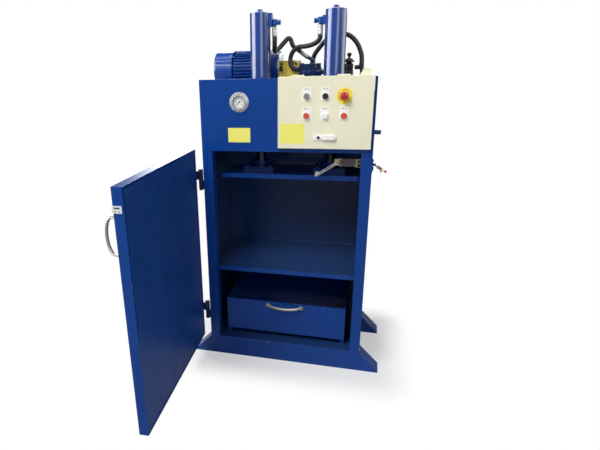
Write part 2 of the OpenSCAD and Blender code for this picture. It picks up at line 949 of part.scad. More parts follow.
module gauge_case() {
    ring = dial_r + bezel_w;
    seat = gauge_flange_t + bezel_h;
    color("silver")
        translate([-gauge_x, front_y, gauge_z])
            rotate([90, 0, 0])
                difference() {
                    rotate_extrude()
                        polygon([
                            [0, -can_l], [can_r, -can_l], [can_r, 0], [gauge_r, 0],
                            [gauge_r, gauge_flange_t - 1], [gauge_r - 1, gauge_flange_t],
                            [ring, gauge_flange_t], [ring, seat - 3], [ring - 2, seat],
                            [dial_r - 1.5, seat], [dial_r - 1.5, seat - 1.5],
                            [dial_r + 0.1, seat - 1.5], [dial_r + 0.1, gauge_flange_t],
                            [0, gauge_flange_t]
                        ]);
                    cylinder(h = 10, r = needle_pin_r + running);
                    for (i = [0 : 2])
                        rotate([0, 0, 90 + i * 120])
                            translate([gauge_r - 5, 0, -1])
                                cylinder(h = gauge_flange_t + 2, r = 2);
                }
}

module gauge_dial() {
    color("white")
        translate([-gauge_x, front_y - gauge_flange_t, gauge_z])
            rotate([90, 0, 0])
                difference() {
                    cylinder(h = dial_t, r = dial_r);
                    translate([0, 0, -1])
                        cylinder(h = dial_t + 2, r = needle_pin_r + running);
                }
}

module gauge_glass() {
    y = front_y - gauge_flange_t - bezel_h + 1.5;
    color("lightblue", 0.3)
        rod_y([-gauge_x, y, gauge_z], glass_t, dial_r);
}

module gauge_needle() {
    y = gauge_flange_t + dial_t + 2;
    color("black")
        translate([-gauge_x, front_y, gauge_z])
            rotate([90, 0, 0])
                rotate([0, 0, 225]) {
                    translate([0, 0, 1])
                        cylinder(h = y - 1, r = needle_pin_r);
                    translate([0, 0, y - 0.5])
                        cylinder(h = needle_t + 1, r = 3.5);
                    translate([0, 0, y])
                        linear_extrude(needle_t)
                            polygon([[-9, -1.6], [0, -1.2], [dial_r - 6, -0.4], [dial_r - 6, 0.4],
                                [0, 1.2], [-9, 1.6]]);
                }
}

// ---- Control box ----

// What stands at a push-button's place: column 0 to 2, row 0 (top) or 1
module at_button(column, row) {
    translate([box_x + button_x + column * button_pitch_x, lid_front,
        box_z + button_z - row * button_pitch_z])
        children();
}

// Knuckles along the lid's hinge line over the given spans, each on a web that
// reaches in by the given depth
module lid_knuckles(spans, reach) {
    for (at = lid_hinges, s = spans) {
        rod_x([at + s[0], lid_y, lid_axis_z], s[1] - s[0], lid_hinge_r);
        block([at + s[0], at + s[1]], [lid_y + min(reach, 0), lid_y + max(reach, 0)],
            [box_top, lid_axis_z]);
    }
}

module lid_pins(r, over) {
    for (at = lid_hinges)
        rod_x([at - over, lid_y, lid_axis_z], lid_hinge_l + 2 * over, r);
}

module box_case() {
    x = [box_x, box_end];
    y = [front_y, front_y + case_d];
    z = [box_z, box_top];
    s = box_sheet;
    color("beige") {
        difference() {
            block(x, y, z);
            block([x[0] + s, x[1] - s], [y[0] - 1, y[1] - s], [z[0] + s, z[1] - s]);
        }
        // Cable hood on top
        translate([hood_x, front_y + 8 + hood_d, box_top])
            rotate([90, 0, 0])
                linear_extrude(hood_d)
                    polygon([[0, 0], [hood_w, 0], [hood_w, hood_h - 4], [hood_w - 6, hood_h],
                        [hood_slope, hood_h], [hood_slope / 4, 9]]);
        lid_knuckles([[0, knuckle_end], [lid_hinge_l - knuckle_end, lid_hinge_l]], 7);
        lid_pins(lid_pin_r, 0);
    }
}

module box_lid() {
    s = box_sheet;
    color("beige")
        difference() {
            union() {
                difference() {
                    block([box_x, box_end], [lid_front, lid_y], [box_z, box_top]);
                    block([box_x + s, box_end - s], [lid_front + s, lid_y + 1],
                        [box_z + s, box_top - s]);
                }
                lid_knuckles([[knuckle_end + gap, lid_hinge_l - knuckle_end - gap]], -4);
            }
            lid_pins(lid_pin_r + running, 1);
            for (column = [0 : 2], row = [0 : 1])
                at_button(column, row)
                    rod_y([0, -1, 0], s + 2, stem_r + running);
            rod_y([lock_pivot, lid_front - 1, box_z + lock_z], s + 2, spindle_r + running);
        }
}

// A legend plate and a round collar at each push-button
module button_surrounds() {
    color("white")
        for (place = [[0, 0], [1, 0], [0, 1], [1, 1], [2, 1]])
            at_button(place[0], place[1]) {
                difference() {
                    block([-legend_w / 2, legend_w / 2], [-legend_t, 0],
                        [9 - legend_h / 2, 9 + legend_h / 2]);
                    rod_y([0, -legend_t - 1, 0], legend_t + 2, stem_r + running);
                }
                translate([0, -legend_t, 0])
                    rotate([90, 0, 0])
                        rotate_extrude()
                            polygon([
                                [button_r + gap, 0], [surround_r, 0], [surround_r, surround_l - 1],
                                [surround_r - 0.8, surround_l], [button_r + gap, surround_l]
                            ]);
            }
}

module stop_plate() {
    color("yellow")
        at_button(2, 0)
            difference() {
                union() {
                    rod_y([0, -legend_t, 0], legend_t, stop_plate_r);
                    rod_y([0, -legend_t - stop_collar_l, 0], stop_collar_l, stop_collar_r);
                }
                rod_y([0, -legend_t - stop_collar_l - 1, 0], legend_t + stop_collar_l + 2,
                    stem_r + running);
            }
}

// A push-button's cap and its stem
module push_button(column, row) {
    lift = legend_t + button_travel + gap;
    at_button(column, row) {
        rod_y([0, -lift, 0], lift + box_sheet + 8, stem_r);
        translate([0, -lift, 0])
            rotate([90, 0, 0])
                rotate_extrude()
                    polygon([
                        [0, 0], [button_r, 0], [button_r, surround_l - 1],
                        [button_r - 1, surround_l], [0, surround_l]
                    ]);
    }
}

module grey_button() {
    color("grey")
        push_button(0, 0);
}

module black_button() {
    color("black")
        push_button(1, 0);
}

module left_red_button() {
    color("tomato")
        push_button(0, 1);
}

module white_button() {
    color("white")
        push_button(1, 1);
}

module right_red_button() {
    color("tomato")
        push_button(2, 1);
}

module stop_stem() {
    color("grey")
        at_button(2, 0) {
            rod_y([0, -stop_lift, 0], stop_lift + box_sheet + 8, stem_r);
            rod_y([0, -stop_lift - spigot_l, 0], spigot_l, spigot_r);
        }
}

module stop_head() {
    color("red")
        at_button(2, 0)
            translate([0, -stop_lift - gap, 0])
                rotate([90, 0, 0])
                    rotate_extrude()
                        polygon([
                            [spigot_r + running, 0], [stop_r - 5, 0], [stop_r, 4], [stop_r, 9],
                            [stop_r - 3, 13], [stop_r - 9, 15], [0, 16], [0, spigot_l],
                            [spigot_r + running, spigot_l]
                        ]);
}

// An oblong with round ends along X
module oblong(length, height) {
    square([length - height, height], center = true);
    for (side = [-1, 1])
        translate([side * (length - height) / 2, 0])
            circle(d = height);
}

module lock_base() {
    color("whitesmoke")
        translate([lock_x, lid_front, box_z + lock_z])
            rotate([90, 0, 0])
                difference() {
                    union() {
                        linear_extrude(lock_base_t)
                            oblong(lock_l, lock_h);
                        translate([-lock_l / 2 + 29, 0, lock_base_t])
                            cylinder(h = 5, r = 9);
                    }
                    translate([lock_pivot - lock_x, 0, -1])
                        cylinder(h = lock_base_t + 2, r = spindle_r + running);
                }
}

module lock_lever() {
    y = lid_front - lock_base_t - gap;
    color("whitesmoke")
        translate([lock_pivot, y, box_z + lock_z])
            rotate([90, 0, 0]) {
                translate([-(lock_lever_l - lock_h + 6) / 2, 0, 0])
                    linear_extrude(lock_lever_t)
                        oblong(lock_lever_l, lock_h - 6);
                translate([0, 0, -lock_base_t - gap - box_sheet - 8])
                    cylinder(h = lock_base_t + gap + box_sheet + 9, r = spindle_r);
            }
}

// ---- Side fittings, switch and latch ----

module cable_stub() {
    color("royalblue")
        difference() {
            rod_x([half_w, stub_y, stub_z], stub_l, stub_r);
            rod_x([half_w + 4, stub_y, stub_z], stub_l, stub_bore_r);
        }
}

module switch_mounts() {
    t = 3;
    head = [[switch_x[0] - 24, switch_x[0]], [switch_y[0] + 4, switch_y[1] - 4],
        [switch_z[0] + 3, switch_z[1] - 3]];
    color("gold") {
        // Angle bracket on the back of the right post
        difference() {
            union() {
                block([switch_x[1], post_x + 34], [post_back, post_back + t],
                    [switch_z[0] + 2, switch_z[1] + 2]);
                block([switch_x[1], switch_x[1] + t], [post_back, switch_y[1]],
                    [switch_z[0] + 2, switch_z[1] + 2]);
            }
            rod_y([switch_x[1] + 16, post_back - 1, (switch_z[0] + switch_z[1]) / 2 + 2], t + 2, 3.5);
        }
        // Head with the lever's shaft bore
        difference() {
            block(head[0], head[1], head[2]);
            rod_y([lever_pivot[0], switch_y[0], lever_pivot[1]], 18, 4 + running);
        }
    }
}

module switch_body() {
    color("dimgrey")
        difference() {
            block(switch_x, switch_y, switch_z);
            for (x = [switch_x[0] + 5, switch_x[1] - 5], z = [switch_z[0] + 5, switch_z[1] - 5])
                rod_y([x, switch_y[0] - 1, z], 4, 2.5);
        }
}

module switch_lever() {
    d = lever_end - lever_pivot;
    length = norm(d);
    tip_y = roller_y + roller_l;
    color("silver") {
        translate([lever_pivot[0], lever_y + lever_t, lever_pivot[1]])
            rotate([90, 0, 0])
                rotate([0, 0, atan2(d[1], d[0])])
                    linear_extrude(lever_t)
                        difference() {
                            translate([length / 2, 0])
                                oblong(length + 16, 13);
                            translate([length / 2 + 8, 0])
                                oblong(length - 44, 4);
                        }
        rod_y([lever_pivot[0], lever_y, lever_pivot[1]], switch_y[0] + 16 - lever_y, 4);
        rod_y([lever_end[0], lever_y, lever_end[1]], tip_y + 3 - lever_y, 3);
        rod_y([lever_end[0], tip_y + gap, lever_end[1]], 3 - gap, 6);
    }
}

module switch_roller() {
    color("silver")
        difference() {
            rod_y([lever_end[0], roller_y, lever_end[1]], roller_l, roller_r);
            rod_y([lever_end[0], roller_y - 1, lever_end[1]], roller_l + 2, 3 + running);
        }
}

module latch_base() {
    color("royalblue") {
        block([half_w, half_w + 3], [latch_y - 16, latch_y + 16], [latch_z - 6, latch_z + 62]);
        rod_x([half_w + 3, latch_y, latch_z + 50], 3, 7);
        rod_x([half_w + 3, latch_y, latch_z + 12], 4, 9);
        // Ears that hold the arm's pivot
        difference() {
            for (y = [latch_y - 11, latch_y + 7])
                block([half_w + 3, latch_pivot[0] + 5], [y, y + 4],
                    [latch_pivot[1] - 6, latch_pivot[1] + 6]);
            rod_y([latch_pivot[0], latch_y - 12, latch_pivot[1]], 24, 2.5 + running);
        }
    }
}

// The arm is drawn level and then droops from its pivot
latch_droop = 33;

module on_latch() {
    translate([latch_pivot[0], latch_y, latch_pivot[1]])
        rotate([0, latch_droop, 0])
            children();
}

module latch_arm() {
    color("lightgrey")
        on_latch() {
            rod_y([0, -11, 0], 22, 2.5);
            block([-5, 18], [-6.7, 6.7], [-4, 4]);
            block([14, 40], [-10, 10], [-8, 8]);
            rod_x([40, 0, 0], 16, 2.5);
        }
}

module latch_grips() {
    color("red")
        on_latch() {
            rod_x([56, 0, 0], 10, 6);
            rod_y([27, -13, 0], 3, 5);
            rod_y([27, 10, 0], 3, 5);
        }
}

// ---- Door ----

module lower_hinges() {
    color("royalblue")
        for (z = [hinge_low_z, hinge_high_z])
            translate([hinge_x, hinge_y, z]) {
                rotate_extrude()
                    polygon([
                        [0, 0], [knuckle_r - 4, 0], [knuckle_r - 1, 2], [knuckle_r, 6],
                        [knuckle_r, knuckle_l], [hinge_pin_r, knuckle_l],
                        [hinge_pin_r, hinge_l - 12], [0, hinge_l - 12]
                    ]);
                block([4, hinge_out], [-7, 7], [8, knuckle_l - 2]);
            }
}

module upper_hinges() {
    bore = hinge_pin_r + running;
    arm = door_y - door_t + 6 - hinge_y;
    color("royalblue")
        on_door()
            for (z = [hinge_low_z, hinge_high_z])
                translate([hinge_x, hinge_y, z + knuckle_l + gap])
                    difference() {
                        union() {
                            rotate_extrude()
                                polygon([
                                    [0, 0], [knuckle_r, 0], [knuckle_r, knuckle_l - 6],
                                    [knuckle_r - 1, knuckle_l - 2], [knuckle_r - 4, knuckle_l],
                                    [0, knuckle_l]
                                ]);
                            block([6, door_x - hinge_x], [arm, -2], [2, knuckle_l - 8]);
                        }
                        rod_z([0, 0, -1], knuckle_l - 9, bore);
                    }
}

module door_pan() {
    x = [door_x, door_x + door_w];
    y = [door_y - door_t, door_y];
    z = [door_z, door_top];
    s = door_sheet;
    color("royalblue")
        on_door()
            difference() {
                block(x, y, z);
                block([x[0] + s, x[1] - s], [y[0] + s, y[1] - s], [z[0] + s, z[1] - s]);
                block([x[0] + door_lip, x[1] - door_lip], [y[1] - s - 1, y[1] + 1],
                    [z[0] + door_lip, z[1] - door_lip]);
            }
}

module door_liner() {
    s = door_sheet;
    color("darkblue")
        on_door()
            block([door_x + s, door_x + door_w - s], [door_y - 2 * s, door_y - s],
                [door_z + s, door_top - s]);
}

module door_handle() {
    foot_x = door_x + door_w - 30;
    face = door_y - door_t;
    color("silver")
        on_door()
            translate([foot_x, face, door_handle_z])
                rotate([0, 90, 0])
                    bow_handle(door_handle_l, door_handle_out, door_bar_r, 11);
}

// An angle over the door's free edge, with a slot for the latch
module door_catch() {
    x = door_x + door_w;
    y = door_y - door_t;
    z = [catch_z - catch_h / 2, catch_z + catch_h / 2];
    color("silver")
        on_door()
            difference() {
                union() {
                    block([x, x + catch_t], [y, y + catch_w], z);
                    block([x - catch_flange, x + catch_t], [y - catch_t, y], z);
                }
                block([x - 1, x + catch_t + 1], [y + 6, y + 28], [catch_z + 2, catch_z + 9]);
                for (dy = [8, 26])
                    rod_x([x - 1, y + dy, catch_z - 7], catch_t + 2, 2.5);
            }
}

// ---- Drawer ----

module drawer_tray() {
    w = drawer_w / 2;
    s = drawer_sheet;
    color("royalblue")
        difference() {
            block([-w, w], [drawer_y, drawer_y + drawer_l], [drawer_z, drawer_z + drawer_h]);
            block([s - w, w - s], [drawer_y + s, drawer_y + drawer_l - s],
                [drawer_z + s, drawer_z + drawer_h + 1]);
        }
}

module drawer_handle() {
    color("silver")
        translate([0, drawer_y, handle_z])
            bow_handle(drawer_handle_l, drawer_handle_out, drawer_bar_r, 12);
}

feet();
floor_plate();
side_walls();
back_wall();
door_frame();
front_panel();
roof_plate();
deck_plate();
crush_shelf();
drawer_runners();
barrels();
port_fittings();
hose_ferrules();
left_hose();
right_hose();
return_hose();
motor_frame();
fan_cowl();
motor_fan();
pump_adaptor();
pump_block();
valve_block();
valve_coil();
tank_fittings();
gauge_case();
gauge_dial();
gauge_glass();
gauge_needle();
box_case();
box_lid();
button_surrounds();
stop_plate();
lock_base();
lock_lever();
grey_button();
black_button();
left_red_button();
white_button();
right_red_button();
stop_stem();
stop_head();
cable_stub();
switch_mounts();
switch_body();
switch_lever();
switch_roller();
lower_hinges();
upper_hinges();
latch_base();
latch_arm();
latch_grips();
door_pan();
door_liner();
door_handle();
door_catch();
drawer_tray();
drawer_handle();
platen();
rod_flanges();
piston_rods();
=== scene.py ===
import json
import math

import bmesh
import bpy
from bpy.props import FloatProperty, FloatVectorProperty, IntProperty, PointerProperty
from mathutils import Matrix, Vector

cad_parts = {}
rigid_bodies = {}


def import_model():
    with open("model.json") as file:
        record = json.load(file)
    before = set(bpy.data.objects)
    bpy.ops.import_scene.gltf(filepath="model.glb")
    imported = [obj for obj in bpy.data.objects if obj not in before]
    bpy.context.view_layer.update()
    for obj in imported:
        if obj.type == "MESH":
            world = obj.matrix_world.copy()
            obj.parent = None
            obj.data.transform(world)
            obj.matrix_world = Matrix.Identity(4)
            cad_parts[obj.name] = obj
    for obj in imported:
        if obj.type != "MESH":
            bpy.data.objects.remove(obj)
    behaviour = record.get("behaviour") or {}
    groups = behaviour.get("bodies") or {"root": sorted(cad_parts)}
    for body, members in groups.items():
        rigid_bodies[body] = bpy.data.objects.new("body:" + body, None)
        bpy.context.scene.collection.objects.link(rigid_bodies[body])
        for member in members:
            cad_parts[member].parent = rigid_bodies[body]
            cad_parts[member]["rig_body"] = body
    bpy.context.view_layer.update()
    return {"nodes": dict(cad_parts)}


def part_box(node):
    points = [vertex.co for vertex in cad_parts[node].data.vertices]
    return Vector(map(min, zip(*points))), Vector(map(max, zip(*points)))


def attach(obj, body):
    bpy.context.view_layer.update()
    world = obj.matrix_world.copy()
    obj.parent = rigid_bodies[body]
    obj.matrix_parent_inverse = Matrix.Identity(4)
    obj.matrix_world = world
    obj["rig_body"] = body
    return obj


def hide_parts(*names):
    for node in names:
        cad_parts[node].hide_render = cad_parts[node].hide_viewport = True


bl_info = {
    "name": "Drum Crusher Finish",
    "version": (1, 0, 0),
    "blender": (4, 5, 0),
    "location": "View3D > Sidebar > Drum Crusher",
    "description": "Finishes a drum crusher's cabinet, press, power pack, controls and fittings",
    "category": "Object",
}

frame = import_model()

SIDES = (-1, 1)
FRONT, RIGHT, UP, DOWN = (0, -1, 0), (1, 0, 0), (0, 0, 1), (0, 0, -1)
# Stands a flat drawing up to face the front, its X to the right and its Y upward
UPRIGHT = Matrix(((1, 0, 0, 0), (0, 0, -1, 0), (0, 1, 0, 0), (0, 0, 0, 1)))
# How CAD shapes are cleaned and rounded: corners nearer than JOINED are one, faces that differ by
# less than FLAT are one, and edges keener than KEEN are rounded
JOINED, FLAT, KEEN = 4e-6, math.radians(0.4), math.radians(32.0)
# Depth of a bow handle's pads, and how far their screws lie outside its chord
PAD_DEEP = 0.005


# ---- Sizes and colours ----

def display(code):
    """Scene-linear red, green and blue of a display colour written as six hex digits."""
    parts = [int(code[i:i + 2], 16) / 255 for i in (0, 2, 4)]
    return tuple(c / 12.92 if c <= 0.04045 else ((c + 0.055) / 1.055) ** 2.4 for c in parts)


def tint(name, description, code):
    return FloatVectorProperty(name=name, description=description, default=display(code),
                               subtype="COLOR", min=0.0, max=1.0)


def number(name, description, default, **limits):
    return FloatProperty(name=name, description=description, default=default, **limits)


def span(name, description, default, low=0.0):
    return number(name, description, default, min=low, unit="LENGTH", precision=4)


class CrusherPaints(bpy.types.PropertyGroup):
    """Colours of the machine's finishes."""
    cabinet: tint("Cabinet enamel", "Glossy blue of the steelwork and the cylinders", "0c3f8e")
    # Painted shade: a darker, greyer copy of the cabinet enamel, which stands in for the dim,
    # greyed shade inside the chamber
    inside: tint("Chamber enamel", "Duller blue of the walls inside the cabinet", "203d6e")
    # Painted light: a lighter copy of the cabinet enamel, which brightens the door's inner sheet
    # where little light falls
    door: tint("Door inner enamel", "Duller blue of the door's inner sheet", "184792")
    motor: tint("Motor enamel", "Blue of the motor's finned frame", "1e4c98")
    valve: tint("Valve enamel", "Dark navy of the valve block and its elbow", "14264f")
    cowl: tint("Cowl enamel", "Blue of the motor's fan cowl", "174a9c")
    cream: tint("Box powder coat", "Cream of the control box", "f1eed2")
    mustard: tint("Pump casting", "Mustard yellow of the pump block", "f2d85a")
    label: tint("Plate yellow", "Yellow of the two plain plates", "f8f47a")
    rubber: tint("Hose rubber", "Dark brown-grey of the hoses", "2f2b29")
    red: tint("Red plastic", "Red of the push-button caps", "d4543c")
    stop: tint("Stop red", "Red of the emergency stop's head", "c4423a")
    signal: tint("Stop yellow", "Yellow of the emergency stop's disc", "f8ee50")
    # Chipped wear on the edges, and in part a painted highlight that lightens them
    bare: tint("Bare steel and edge sheen", "Steel that shows where the enamel is chipped", "8d9096")
    handle: tint("Handle metal", "Warm silver of the two bow handles", "c9c5b8")


class CrusherSizes(bpy.types.PropertyGroup):
    """Sizes of the finishing work, in metres."""
    edge: span("Broken edge", "Rounding of the folded and cut steel edges", 0.0009)
    fine_edge: span("Fine edge", "Rounding of the small turned and moulded edges", 0.0004)
    bead: span("Weld bead", "Radius of a weld bead", 0.0028)
    ripple: span("Weld ripple", "Distance from one ripple of a weld bead to the next", 0.007)
    tick: span("Dial mark", "Length of a long mark on the gauge's dial", 0.005)
    plate: span("Plate thickness", "Thickness of the yellow plates", 0.0008)
    hose: span("Hose", "Radius of the three hoses", 0.012)
    knuckle: span("Hinge knuckle", "Radius of the door's hinge knuckles", 0.0125)
    door_open: number("Door angle", "Angle at which the door stands open", math.radians(87.5),
                      subtype="ANGLE")
    # The petals are darker red sheets: painted shade for the finger hollows on the stop's head
    petals: IntProperty(name="Petals", description="Hollows on the emergency stop's head",
                        default=3, min=0, max=8)


class CrusherStudio(bpy.types.PropertyGroup):
    """The floor, the light and the camera."""
    camera_x: span("Camera X", "The camera's place to the right", 0.4039, -20.0)
    camera_y: span("Camera Y", "The camera's place to the back", -2.5594, -20.0)
    camera_z: span("Camera Z", "The camera's height", 1.5808)
    yaw: number("Yaw", "Turn of the camera to the left", 0.27496, subtype="ANGLE")
    pitch: number("Pitch", "Tilt of the camera to the floor", 0.33878, subtype="ANGLE")
    roll: number("Roll", "Lean of the camera", -0.02716, subtype="ANGLE")
    lens: number("Lens", "Focal length on a 36 mm sensor", 28.228, unit="CAMERA")
    shift_x: number("Shift X", "Sideways shift of the view", 0.1034)
    shift_y: number("Shift Y", "Upward shift of the view", 0.0206)
    key: number("Key light", "Power of the large light at the front left", 225.0, min=0.0)
    fill: number("Fill light", "Power of the light at the front right", 14.0, min=0.0)
    rim: number("Rim light", "Power of the light behind the machine", 30.0, min=0.0)
    sky: number("Sky", "Strength of the even light from all round", 0.2, min=0.0, max=1.0,
                subtype="FACTOR")
    floor: tint("Floor", "Colour of the floor", "e9e9e9")


def paints():
    return bpy.context.scene.crusher_paints


def sizes():
    return bpy.context.scene.crusher_sizes


def studio():
    return bpy.context.scene.crusher_studio


# ---- Finishes ----

# What every moulded plastic shares, from its specular level on: a faint spark-eroded grain
MOULDED = (0.5, 0.0, 0.04, 60.0, 0.15, 1400.0, {})
# Each finish has a colour (a paint, or a display colour after #), roughness, specular level and
# metal, the depth and the scale of its clouds and of its grain, and further settings: chips on
# the edges that are also a painted edge highlight, the way the noise is drawn out, and inputs of
# the shader
FINISHES = {
    "cabinet enamel": ("cabinet", 0.2, 0.4, 0.0, 0.06, 3.0, 0.12, 260.0, {"chips_and_sheen": 0.2}),
    # Painted shade for the chamber's inner faces, on a darker, greyer copy of the cabinet's blue
    "chamber enamel": ("inside", 0.2, 0.4, 0.0, 0.06, 3.0, 0.12, 260.0, {}),
    "cylinder enamel": ("cabinet", 0.14, 0.9, 0.0, 0.1, 9.0, 0.9, 26.0,
                        {"stretch": (1.0, 1.0, 0.12), "shader": {"Coat Weight": 0.5}}),
    "valve enamel": ("valve", 0.25, 0.5, 0.0, 0.14, 30.0, 0.2, 300.0, {"chips_and_sheen": 0.25}),
    # Painted light on the door's inner sheet, a lighter copy of the cabinet's blue
    "door inner enamel": ("door", 0.36, 0.35, 0.0, 0.06, 2.0, 0.12, 260.0, {}),
    "motor enamel": ("motor", 0.34, 0.4, 0.0, 0.12, 14.0, 0.3, 420.0, {"chips_and_sheen": 0.3}),
    "cowl enamel": ("cowl", 0.14, 0.8, 0.0, 0.1, 9.0, 0.7, 60.0,
                    {"chips_and_sheen": 0.2, "stretch": (0.6, 1.0, 1.0)}),
    "box powder coat": ("cream", 0.42, 0.4, 0.0, 0.03, 4.0, 0.35, 620.0, {}),
    "pump casting enamel": ("mustard", 0.4, 0.4, 0.0, 0.12, 16.0, 0.5, 260.0, {"chips_and_sheen": 0.5}),
    # Painted shade: the rods' chrome is darkened to stand in for the dark chamber it reflects
    "oiled chrome": ("#4b505c", 0.16, 0.5, 1.0, 0.04, 30.0, 0.03, 900.0,
                     {"stretch": (1.0, 1.0, 0.15)}),
    "polished chrome": ("#e2e4e6", 0.16, 0.5, 1.0, 0.08, 40.0, 0.04, 700.0, {}),
    "satin chrome": ("#e6e7e4", 0.26, 0.8, 0.72, 0.08, 40.0, 0.06, 700.0, {}),
    # Painted reflection: a near-white, mostly non-metal finish that stands in for the chromed
    # catch's bright reflection
    "catch plating": ("#f6f8fa", 0.3, 0.8, 0.2, 0.06, 60.0, 0.06, 700.0, {}),
    "pale zinc plating": ("#c3c4c0", 0.34, 0.5, 1.0, 0.16, 90.0, 0.2, 900.0, {}),
    "yellow zinc plating": ("#d3c596", 0.36, 0.5, 0.9, 0.2, 80.0, 0.2, 900.0, {}),
    "black oxide": ("#2b2b2d", 0.4, 0.5, 0.6, 0.2, 60.0, 0.15, 900.0, {}),
    "handle metal": ("handle", 0.3, 0.5, 0.55, 0.06, 25.0, 0.1, 600.0,
                     {"stretch": (1.0, 3.0, 1.0)}),
    "cast aluminium": ("#d4d5d6", 0.5, 0.5, 0.9, 0.14, 35.0, 0.5, 420.0, {}),
    "hose rubber": ("rubber", 0.42, 0.5, 0.0, 0.16, 22.0, 0.1, 900.0, {}),
    "gauge glass": ("#f2f6f6", 0.03, 0.5, 0.0, 0.01, 5.0, 0.01, 700.0,
                    {"shader": {"Transmission Weight": 1.0, "IOR": 1.05}}),
    "plate yellow": ("label", 0.4, 0.3, 0.0, 0.03, 9.0, 0.06, 500.0, {}),
    "black plastic": ("#222325", 0.38, *MOULDED),
    "white plastic": ("#fbfaf6", 0.32, *MOULDED),
    "grey plastic": ("#858a80", 0.38, *MOULDED),
    "button red": ("red", 0.3, *MOULDED),
    "stop red": ("stop", 0.3, *MOULDED),
    # Painted shade for the stop head's finger hollows
    "stop dark red": ("#8e2023", 0.35, *MOULDED),
    "stop yellow": ("signal", 0.38, *MOULDED),
    "stop orange": ("#e07a2c", 0.4, *MOULDED),
    "lock blue": ("#2f3e6e", 0.35, *MOULDED),
    "grip red": ("#c8452f", 0.36, *MOULDED),
    "mark orange": ("#e8622e", 0.4, *MOULDED),
    "switch casting": ("#565053", 0.5, *MOULDED),
    "dial face": ("#f2f1ef", 0.5, *MOULDED),
    "printed black": ("#24262b", 0.5, *MOULDED),
    "printed grey": ("#6c6c6e", 0.5, *MOULDED),
}


def fed(node, inputs):
    """Sets a node's inputs by name or number, and links those whose value is an output."""
    for name, value in inputs.items():
        if isinstance(value, bpy.types.NodeSocket):
            node.id_data.links.new(value, node.inputs[name])
        else:
            node.inputs[name].default_value = value
    return node


def added(tree, kind, inputs, **settings):
    """A new shader node with its settings and its inputs."""
    node = tree.nodes.new("ShaderNode" + kind)
    for name, value in settings.items():
        setattr(node, name, value)
    return fed(node, inputs)


def shaded(colour, factor):
    return tuple(min(1.0, c * factor) for c in colour[:3]) + (1.0,)


def finish(name):
    """A finish from the table, with a cloudy colour, an uneven gloss and a fine grain."""
    made = bpy.data.materials.get(name)
    if made:
        return made
    (colour, roughness, specular, metallic, cloud, cloud_size, grain, grain_size,
     more) = FINISHES[name]
    colour = display(colour[1:]) if colour.startswith("#") else getattr(paints(), colour)
    made = bpy.data.materials.new(name)
    made.use_nodes = True
    tree = made.node_tree
    place = added(tree, "TexCoord", {}).outputs["Object"]
    drawn = added(tree, "Mapping", {"Vector": place,
                                    "Scale": more.get("stretch", (1.0, 1.0, 1.0))})

    def noise(size, detail):
        return added(tree, "TexNoise", {"Vector": drawn.outputs["Vector"], "Scale": size,
                                        "Detail": detail}).outputs[0]

    clouds = added(tree, "ValToRGB", {"Fac": noise(cloud_size, 4.0)})
    dark, light = clouds.color_ramp.elements
    dark.position, dark.color = 0.32, shaded(colour, 1 - cloud)
    light.position, light.color = 0.68, shaded(colour, 1 + cloud)
    gloss = added(tree, "MapRange", {
        "Value": noise(cloud_size * 7, 5.0), "From Min": 0.3, "From Max": 0.7,
        "To Min": roughness * 0.8, "To Max": min(1.0, roughness * 1.2)})
    bump = added(tree, "Bump", {"Height": noise(grain_size, 2.0), "Strength": grain,
                                "Distance": 0.0006})
    base = clouds.outputs["Color"]
    if "chips_and_sheen" in more:
        # Bare steel on the rounded edges where a fine noise is high: chipped wear, and in part a
        # painted highlight along the edges
        spread = 0.2 * more["chips_and_sheen"]
        edges = added(tree, "Attribute", {}, attribute_name="edge")
        worn_and_lit = added(tree, "MapRange", {"Value": noise(38.0, 6.0), "From Min": 0.66 - spread,
                                        "From Max": 0.72 - spread})
        both = added(tree, "Math", {0: worn_and_lit.outputs["Result"], 1: edges.outputs["Fac"]},
                     operation="MULTIPLY")
        base = added(tree, "Mix", {0: both.outputs["Value"], 6: base,
                                   7: shaded(paints().bare, 1.0)}, data_type="RGBA").outputs[2]
    fed(tree.nodes["Principled BSDF"], {
        "Base Color": base, "Roughness": gloss.outputs["Result"],
        "Normal": bump.outputs["Normal"], "Specular IOR Level": specular, "Metallic": metallic,
        "Coat Weight": 0.0, "Coat Roughness": 0.08, **more.get("shader", {})})
    return made


def wrapped(made):
    """Winds a cloth mark round a hose's rubber, on the hose's own UV map."""
    tree = made.node_tree
    shader = tree.nodes["Principled BSDF"]
    grain = shader.inputs["Normal"].links[0].from_socket
    place = added(tree, "TexCoord", {}).outputs["UV"]
    wound = added(tree, "Mapping", {"Vector": place, "Scale": (110.0, 4.0, 1.0),
                                    "Rotation": (0.0, 0.0, 0.03)})
    weave = added(tree, "TexWave", {"Vector": wound.outputs["Vector"], "Scale": 1.0,
                                    "Distortion": 0.6})
    bump = added(tree, "Bump", {"Height": weave.outputs["Fac"], "Normal": grain,
                                "Strength": 0.35, "Distance": 0.0004})
    fed(shader, {"Normal": bump.outputs["Normal"]})
    return made


# ---- Shapes ----

def aimed(at, axis):
    """The place of a shape whose own +Z points along an axis."""
    turn = Vector(axis).to_track_quat("Z", "Y").to_matrix().to_4x4()
    return Matrix.Translation(Vector(at)) @ turn


def spoke(degrees, radius=1.0):
    """The level and the upward part of a radius at an angle."""
    turn = math.radians(degrees)
    return radius * math.cos(turn), radius * math.sin(turn)


def rounded(part, edges, width, segments=2):
    return bmesh.ops.bevel(part, geom=edges, offset=width, offset_type="OFFSET", affect="EDGES",
                           segments=segments, profile=0.5, material=-1, clamp_overlap=True)


